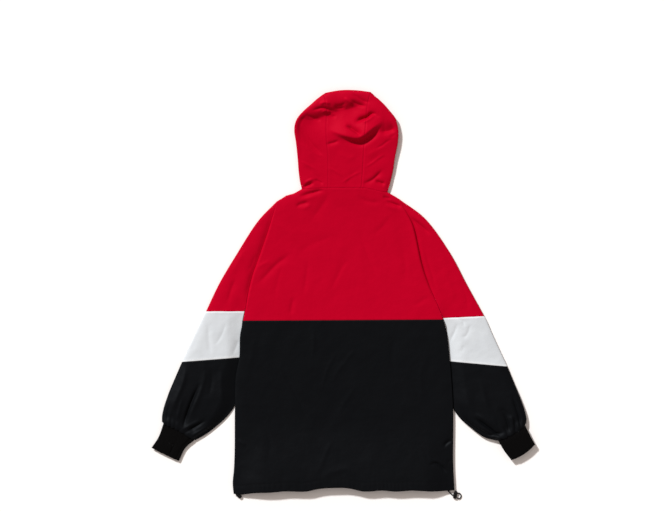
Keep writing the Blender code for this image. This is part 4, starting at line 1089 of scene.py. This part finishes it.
# ======================================================================= sleeves
# Each sleeve is three tubes seamed end to end: red nylon to the elbow, a white band, and a black lower
# sleeve that puffs out and is gathered into its cuff. It lies flat, its inner edge tucked under the body.
SLEEVE_FOLD = 5.5
SLEEVE_REACH = 26.0
TUCK_REACH = 42.0
CUFF_REACH = 14.0
SLEEVE_HOLLOW = 0.9
SLEEVE_STEP = 2.3
SLEEVE_UNDER_STEP = 5.0
SLEEVE_LENGTHS = (270.0, 145.0, 175.0)      # these lengths set how many points a tube has
SLEEVE_WIDTH = 150.0
SLEEVE_SHARES = stops(SLEEVE_WIDTH, SLEEVE_STEP) / SLEEVE_WIDTH
CUFF_LIFT = {"left": 0.5, "right": 7.5}     # how far the cuff curls up off the floor
Bow = namedtuple("Bow", "cuff wrist")       # how far the cuff's two ends bow out along the arm
BOWS = {"left": Bow(-5.0, 0.5), "right": Bow(3.0, 4.5)}
CUFF_GATHER = 2.6
GATHER_REACH = 26.0     # how far the gathers run up from the cuff
BULGE = 3.0             # how far the puffed end stands above its cuff seam
OVERHANG = 6.5          # how far its lobes hang over the seam
SLEEVE_CREASES = {
    "left": [
        Crease(-1.6, 7, 6, [(-281, 229), (-296, 265), (-307, 307)]),
        Crease(-0.8, 10, 10, [(-216, 73), (-244, 117), (-270, 164)]),
        Crease(0.8, 8, 8, [(-257, 151), (-278, 192), (-296, 229)]),
        Crease(-1, 5, 6, [(-231, 166), (-242, 198), (-257, 224)]),
        Crease(-1.5, 7, 7, [(-355, 343), (-355, 380), (-352, 411), (-347, 442)]),
        Crease(-1.1, 4, 5, [(-307, 343), (-317, 374), (-328, 395), (-343, 413)]),
        Crease(-0.7, 6, 6, [(-382, 369), (-393, 400), (-403, 432)]),
        Crease(-1.4, 5, 7, [(-276, 390), (-283, 413), (-294, 439)]),
        # the deep fold to the cuff
        Crease(-7.5, 5, 4, [(-374, 502), (-389, 533), (-400, 559), (-410, 585), (-417, 608), (-424, 632)]),
        Crease(2.8, 6, 7, [(-411, 455), (-421, 507), (-439, 551), (-452, 595)]),
        Crease(1.8, 4, 4, [(-421, 541), (-430, 575), (-439, 611)]),
        Crease(2, 6, 8, [(-372, 450), (-364, 486), (-374, 525), (-390, 564), (-411, 608)]),
        Crease(-1.6, 6, 6, [(-348, 463), (-346, 504), (-356, 546)]),
        Crease(1.5, 6, 7, [(-322, 458), (-322, 512), (-317, 567)]),
        Crease(-4.5, 4, 4, [(-419, 636), (-400, 627), (-380, 615), (-359, 601)]),
        Crease(2.2, 5, 4, [(-424, 629), (-400, 616), (-372, 603)]),
        Crease(2.2, 4, 5, [(-406, 645), (-369, 628), (-333, 603)]),
        # inside its lower edge
        Crease(-3.4, 4, 4, [(-403, 653), (-359, 634), (-322, 606), (-289, 567)]),
        Crease(-1.5, 4, 4, [(-455, 551), (-460, 580), (-463, 611)]),
        # in the cuff
        Crease(-2.6, 3, 3, [(-442, 658), (-447, 674), (-452, 685), (-459, 699)]),
    ],
    "right": [
        # below the right shoulder's fold
        Crease(-4.4, 4, 4.5, [(127, 25), (140, 35), (156, 46), (172, 56), (187, 66)]),
        Crease(-4.4, 4, 4.5, [(170, 74), (187, 90), (205, 105), (224, 121)]),
        Crease(1.2, 6, 6, [(182, 70), (205, 88), (229, 109)]),
        Crease(-1.3, 5, 6, [(195, 143), (211, 177), (221, 208), (231, 242), (239, 273)]),
        Crease(-0.9, 8, 8, [(242, 135), (265, 174), (283, 218)]),
        Crease(0.9, 8, 8, [(250, 208), (273, 255), (286, 302)]),
        Crease(-1, 6, 6, [(302, 250), (315, 283), (320, 320)]),
        Crease(-1.6, 4, 5, [(292, 348), (287, 369), (278, 390), (270, 408)]),
        Crease(-1.8, 4, 4, [(278, 336), (296, 339), (307, 348), (309, 364)]),
        Crease(-1.2, 4, 5, [(296, 384), (311, 386), (320, 374), (324, 361), (335, 358)]),
        Crease(-0.8, 5, 5, [(309, 408), (302, 429)]),
        Crease(0.8, 8, 8, [(351, 369), (367, 408), (377, 439)]),
        # fold to the cuff
        Crease(-6.5, 3.5, 3.5, [(330, 594), (351, 607), (369, 620), (387, 633), (408, 647)]),
        Crease(2.6, 4.5, 4.5, [(335, 584), (367, 603), (398, 627)]),
        Crease(-4, 3, 3, [(361, 641), (380, 641), (398, 638), (413, 634)]),
        Crease(-4.5, 3.5, 4, [(406, 575), (415, 590), (422, 610), (426, 629), (426, 647)]),
        Crease(-4, 3, 3.5, [(438, 593), (441, 611), (443, 628), (443, 642)]),
        Crease(2.6, 4, 4, [(430, 588), (434, 606), (436, 627)]),
        # inside its lower edge
        Crease(-3.4, 4, 4, [(286, 580), (312, 604), (341, 624), (372, 640), (400, 650)]),
        Crease(2, 4, 4, [(315, 595), (346, 620), (377, 636)]),
        Crease(-1.7, 4, 4, [(395, 581), (408, 577), (420, 584), (426, 601)]),
        Crease(-5, 3.5, 3.5, [(432, 536), (442, 564), (450, 590), (455, 614), (456, 632)]),
        Crease(-2.2, 3, 3, [(448, 541), (458, 567), (463, 593)]),
        Crease(1.6, 5, 4, [(424, 476), (441, 523), (455, 569)]),
        Crease(1.3, 8, 8, [(351, 494), (364, 546), (377, 595)]),
        Crease(0.9, 7, 7, [(307, 520), (322, 556), (341, 588)]),
        Crease(-1.8, 4, 4, [(411, 614), (419, 629), (424, 647)]),
    ],
}
WHITE = nylon("white_nylon", (0.43, 0.475, 0.51), (0.69, 0.725, 0.755), 0.15, (1.0, 1.0, 1.0), turned=0.42)


def sleeve_flat(side, ats, shares):
    """Sections of a sleeve from its outer to its inner fold: straight, bowed near the armhole."""
    place = {name: sleeve_point(side, ats, name)[:, None] for name in Ring._fields[1:5]}
    outer = np.stack([place["outer_across"], place["outer_down"]], axis=-1)
    inner = np.stack([place["inner_across"], place["inner_down"]], axis=-1)
    top = SIDES[side][0].down
    seam = side_line(side, top + shares * (UNDERARM[side] - top))
    first, last = side_line(side, [top, UNDERARM[side]])
    bow = seam - (first + shares[:, None] * (last - first))
    fade = (1 - np.minimum(ats, 1)) ** 1.5
    flat = outer + shares[:, None] * (inner - outer) + fade[:, None, None] * bow
    wrist = BOWS[side].cuff * bell(ats - 3, 0.22) + BOWS[side].wrist * bell(ats - 4, 0.5)
    along_arm = unit(np.array([sleeve_point(side, 4.0, name) - sleeve_point(side, 3.0, name)
                               for name in ("outer_across", "outer_down")]).ravel())
    return flat + along_arm * (wrist[:, None] * 4 * shares * (1 - shares))[..., None]


def sleeve_heights(side, ats, flat, outer, inner):
    """Inner faces of the top and the under layer of a sleeve: a level that rounds down to the outer fold
    and slopes down to the inner one, running on from the body's at the armhole."""
    height, fold = (sleeve_point(side, ats, name)[:, None] for name in ("height", "fold"))
    own = height - (height - SLEEVE_FOLD) * (1 - rounded(outer, SLEEVE_REACH))
    tuck = (TUCK_REACH + (CUFF_REACH - TUCK_REACH) * eased((ats - 2.6) / 0.4))[:, None]
    own = own - (height - fold) * (1 - eased(inner / tuck))
    blend = eased(ats)[:, None]
    top = (1 - blend) * top_height(flat) + blend * own
    under = FLOOR_GAP + (SLEEVE_FOLD - FLOOR_GAP) * falling(outer, UNDER_REACH)
    under = under + (fold - FLOOR_GAP) * falling(inner, UNDER_REACH)
    lift = CUFF_LIFT[side] * eased((ats - 2.4) / 0.9)[:, None]
    return top + lift, under + lift


def sleeve_grid(side, start, seed):
    """A tube from one seam to the next: its top layer from the outer to the inner fold, then the under
    layer back. The last one is gathered, and puffs out in lobes that hang over the cuff's seam."""
    ats = start + stops(SLEEVE_LENGTHS[start], SLEEVE_STEP) / SLEEVE_LENGTHS[start]
    layers = []
    for shares in (SLEEVE_SHARES, stops(SLEEVE_WIDTH, SLEEVE_UNDER_STEP)[-2:0:-1] / SLEEVE_WIDTH):
        flat = sleeve_flat(side, ats, shares)
        outer = distance(flat, OUTLINES[side])
        inner = np.linalg.norm(flat - sleeve_flat(side, ats, np.array([1.0])), axis=-1)
        layers.append((flat, outer, inner, *sleeve_heights(side, ats, flat, outer, inner)))
    (flat, outer, inner, top, under_top), (under_flat, _, _, _, under) = layers
    rows, rows_back, columns, _ = rim_distances(flat)
    gathered = start == len(SLEEVE_LENGTHS) - 1
    if gathered:
        ahead = unit(flat[-1:] - flat[-8:-7])
        lobes = OVERHANG * (0.7 + gathers(columns[-1:] + 0 * rows, seed + 0.4)) * bell(rows_back, 8)
        flat = flat + ahead * (lobes * eased(np.minimum(outer, inner) / 9))[..., None]
    inside = eased(np.minimum(outer, inner) / 13)
    top = top + (creased(flat, SLEEVE_CREASES[side]) + rumpled(flat, 34, 0.25, seed)) * inside
    top = top + (seamed(rows, columns, seed) + seamed(rows_back, columns, seed + 1)) * inside
    if gathered:
        drawn = np.exp(-rows_back / GATHER_REACH) * (1 - np.exp(-rows_back / 2.5))
        puff = BULGE * bell(rows_back - 7, 8)
        top = top + (CUFF_GATHER * gathers(columns, seed + 0.4) * drawn + puff) * inside
    top = np.maximum(top, under_top + SLEEVE_HOLLOW * inside)
    top[:, [0, -1]] = (top[:, [0, -1]] + under_top[:, [0, -1]]) / 2
    return np.concatenate([raised(flat, top), raised(under_flat, under)], axis=1)


SLEEVE_SEEDS = {"left": 11, "right": 12}
TUBES = [("upper", RED, "red_shell"), ("band", WHITE, "white_shell"), ("lower", BLACK, "black_shell")]
sleeve_grids = {}
for side in SIDES:
    for start, (name, material, slot) in enumerate(TUBES):
        grid = sleeve_grid(side, start, SLEEVE_SEEDS[side] + 2 * start)
        sleeve_grids[side, name] = grid
        piece = cloth(f"{name}_sleeve_{side}", grid, material, turn=side == "left", around=True)
        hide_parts(f"sleeve_{side}_{name}")
        laid(grid, around=True, wide_row=-1 if name == "upper" else None)

# ======================================================================= cuffs
# A band of doubled black rib knit, folded at the wrist, its ribs running along the arm.
RIB = 2.0
RIB_PITCH = 2.6
RIB_DEPTH = 0.45
RIB_COLUMNS = 140
CUFF_LENGTH = 66.0
CUFF_WIDTH = 80.0
CUFF_STEP = 2.6
CUFF_INSET = 6.5        # how far the cuff's seam draws in under the sleeve's puffed end


def rib_knit():
    """Matt black knit with small loops along each rib."""
    finish = Finish("rib_knit", {"Specular IOR Level": 0.03})
    loops = finish.node("ShaderNodeTexVoronoi", {}, {"Vector": finish.cut(), "Scale": 900.0})
    fluff = finish.noise(finish.place(), 420.0, 4.0, 0.6)
    mix = loops * 0.5 + fluff * 0.5
    finish.coloured(mix, (0.0014, 0.0013, 0.0013), (0.0036, 0.0034, 0.0036))
    finish.shaded(Roughness=0.8 + fluff * 0.15)
    finish.bumped(mix, 0.0004)
    return finish.material


RIBBED = rib_knit()


def cuff_grid(side):
    """The cuff's two layers, with ribs raised out of them and the wrist's end rounded over."""
    ats = CUFF_AT + stops(CUFF_LENGTH, CUFF_STEP) / CUFF_LENGTH
    shares = np.linspace(0, 1, RIB_COLUMNS)
    flat = sleeve_flat(side, ats, shares)
    rows, rows_back, columns, _ = rim_distances(flat)
    inward = unit(flat[:, -1:] - flat[:, :1]) * (CUFF_INSET * rows_back / (rows + rows_back))[..., None]
    flat = flat + inward * (1 - 1.5 * shares)[:, None]
    outer = np.linalg.norm(flat - flat[:, :1], axis=-1)
    inner = np.linalg.norm(flat - flat[:, -1:], axis=-1)
    top, under = sleeve_heights(side, ats, flat, outer, inner)
    inside = eased(np.minimum(outer, inner) / 5)
    ribs = RIB_DEPTH * (np.abs(np.cos(np.pi * shares * CUFF_WIDTH / RIB_PITCH)) - 0.5) * inside
    end = -0.6 * np.exp(-rows_back / 4) - 2.4 * np.exp(-rows / 9) * inside
    top = top - 0.4 * inside + ribs + end + creased(flat, SLEEVE_CREASES[side]) * inside
    under = under + (RIB - SHELL)
    top = np.maximum(top, under + SLEEVE_HOLLOW * inside)
    top[:, [0, -1]] = under[:, [0, -1]] = (top[:, [0, -1]] + under[:, [0, -1]]) / 2
    return np.concatenate([raised(flat, top), raised(flat, under)[:, -2:0:-1]], axis=1)


for side in SIDES:
    grid = cuff_grid(side)
    piece = cloth("rib_cuff_" + side, grid, RIBBED, turn=side == "left", around=True, wall=RIB)
    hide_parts("cuff_" + side)
    laid(grid, around=True)

# ======================================================================= stitching
# Lockstitch in thread of each cloth's colour: along the hem's casing and beside the seams of the hood,
# neck, armholes, colour seam and bands.
STITCH = 2.3
STITCH_PITCH = 3.1
THREAD = 0.24
THREAD_PROUD = 0.06     # how far a thread's middle stands off the cloth
SEAM_STITCHES = {"neck": 2.4, "colour": 2.4, "hood": 2.2, "band": 4.6, "armhole": 5.4}
NECK_STITCHES = (-106, 105)


def beside(grid, d, edge):
    """The line on a grid's outer face that runs at distance d from one of its edges."""
    turned = grid.swapaxes(0, 1)
    lines = {"first": grid, "last": grid[::-1], "left": turned, "right": turned[::-1]}[edge]
    runs = rim_distances(lines)[0]
    line = np.array([[np.interp(d, run, across[:, k]) for k in range(3)]
                     for run, across in zip(runs.T, lines.swapaxes(0, 1))])
    return line + [0, 0, SHELL + THREAD_PROUD]


def stitched(name, lines, material):
    """One mesh of short thread ends, tapered to points, a pitch apart along the lines."""
    shares, fat = np.array([0, 0.2, 0.8, 1.0]), np.array([0.1, 1.0, 1.0, 0.1])
    turn = np.linspace(0, 2 * np.pi, 5, endpoint=False)
    points, faces = [], []
    for line in lines:
        length = along(line)[-1]
        starts = np.arange(STITCH_PITCH, length - STITCH_PITCH, STITCH_PITCH)
        first, last = (resampled(line, at / length) for at in (starts, starts + STITCH))
        spine = first[:, None] + shares[None, :, None] * (last - first)[:, None]
        level = unit(np.cross(last - first, [0, 0, 1.0]))[:, None, None] * np.cos(turn)[:, None]
        ring = (level + np.array([0, 0, 1.0]) * np.sin(turn)[:, None]) * (THREAD * fat)[None, :, None, None]
        count = sum(len(part) for part in points)
        points.append(placed(spine[:, :, None] + ring).reshape(-1, 3))
        number = count + np.arange(ring[..., 0].size).reshape(ring.shape[:3])
        wide = np.concatenate([number, number[..., :1]], axis=-1)
        corners = [wide[:, :-1, :-1], wide[:, 1:, :-1], wide[:, 1:, 1:], wide[:, :-1, 1:]]
        faces.append(np.stack(corners, axis=-1).reshape(-1, 4))
    mesh = bpy.data.meshes.new(name)
    mesh.from_pydata(np.concatenate(points), [], np.concatenate(faces))
    mesh.polygons.foreach_set("use_smooth", np.ones(len(mesh.polygons), bool))
    mesh.materials.append(material)
    piece = linked(name, mesh)
    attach(piece, "root")


def thread(name, colour):
    """Plain thread of one colour."""
    return Finish(name, {"Base Color": (*colour, 1), "Roughness": 0.7, "Specular IOR Level": 0.1}).material


neck_line = beside(grid_upper, SEAM_STITCHES["neck"], "last")
neck_line = neck_line[(neck_line[:, 0] > NECK_STITCHES[0]) & (neck_line[:, 0] < NECK_STITCHES[1])]
armholes = [beside(grid_upper, SEAM_STITCHES["armhole"], side) for side in SIDES]
armholes = [line[line[:, 1] < UNDERARM[side]] for line, side in zip(armholes, SIDES)]
hood_seams = [beside(hood_grids["centre"], SEAM_STITCHES["hood"], side)[:len(hood_rows())] for side in SIDES]
colour_line = beside(grid_upper, SEAM_STITCHES["colour"], "first")
red_thread = thread("red_thread", (0.36, 0.0003, 0.012))
stitched("red_stitches", [neck_line, *armholes, *hood_seams, colour_line], red_thread)
black_thread = thread("black_thread", (0.003, 0.003, 0.003))
stitched("black_stitches", [beside(grid_lower, CASING, "first")], black_thread)
band_lines = [beside(sleeve_grids[side, "band"], SEAM_STITCHES["band"], edge)[3:len(SLEEVE_SHARES) - 3]
              for side in SIDES for edge in ("first", "last")]
stitched("white_stitches", band_lines, thread("white_thread", (0.62, 0.64, 0.66)))

# ======================================================================= zip
# The closed coil zip between the fronts, face down: woven black tape and a dark metal slider whose pull
# lies under it. Both keep their plain shapes, since the jacket lies on them.
tape_finish = Finish("zip_tape_weave", {"Specular IOR Level": 0.1})
waves = {"Vector": tape_finish.place(), "Scale": 260.0, "Distortion": 1.0}
weave = tape_finish.node("ShaderNodeTexWave", {}, waves)
tape_finish.coloured(weave, (0.002, 0.002, 0.002), (0.006, 0.006, 0.006))
tape_finish.shaded(Roughness=0.85 - weave * 0.1)
slider_finish = Finish("dark_metal", {"Base Color": (0.05, 0.05, 0.052, 1), "Metallic": 1.0})
worn = slider_finish.noise(slider_finish.place(), 300.0)
slider_finish.shaded(Roughness=0.3 + worn * 0.2)
for name, finish in (("zip_tape", tape_finish), ("zip_slider", slider_finish)):
    bpy.data.objects[name].data.materials.clear()
    bpy.data.objects[name].data.materials.append(finish.material)

# ======================================================================= floor and light
# A plain white floor under soft daylight from the upper left, with a pale room around it.
floor_mesh = bpy.data.meshes.new("floor")
floor_mesh.from_pydata([(-12, -12, 0), (12, -12, 0), (12, 12, 0), (-12, 12, 0)], [], [(0, 1, 2, 3)])
floor = linked("floor", floor_mesh)
matt = {"Roughness": 0.95, "Specular IOR Level": 0.0, "Base Color": (0.86, 0.86, 0.86, 1)}
floor.data.materials.append(Finish("white_floor", matt).material)

LIGHT_TRAVEL = (0.78, -1.0, -1.0)
LIGHT_STRENGTH = 3.95
LIGHT_ANGLE = 0.11
ROOM_COLOUR = (1.0, 0.87, 0.80, 1)
ROOM_STRENGTH = 0.51
key = linked("key", bpy.data.lights.new("key", "SUN"))
key.data.energy = LIGHT_STRENGTH
key.data.angle = LIGHT_ANGLE
key.rotation_euler = Vector(LIGHT_TRAVEL).to_track_quat("-Z", "Y").to_euler()

world = bpy.data.worlds.new("room")
world.use_nodes = True
world.node_tree.nodes["Background"].inputs["Color"].default_value = ROOM_COLOUR
world.node_tree.nodes["Background"].inputs["Strength"].default_value = ROOM_STRENGTH
bpy.context.scene.world = world
bpy.context.scene.view_settings.view_transform = "Standard"
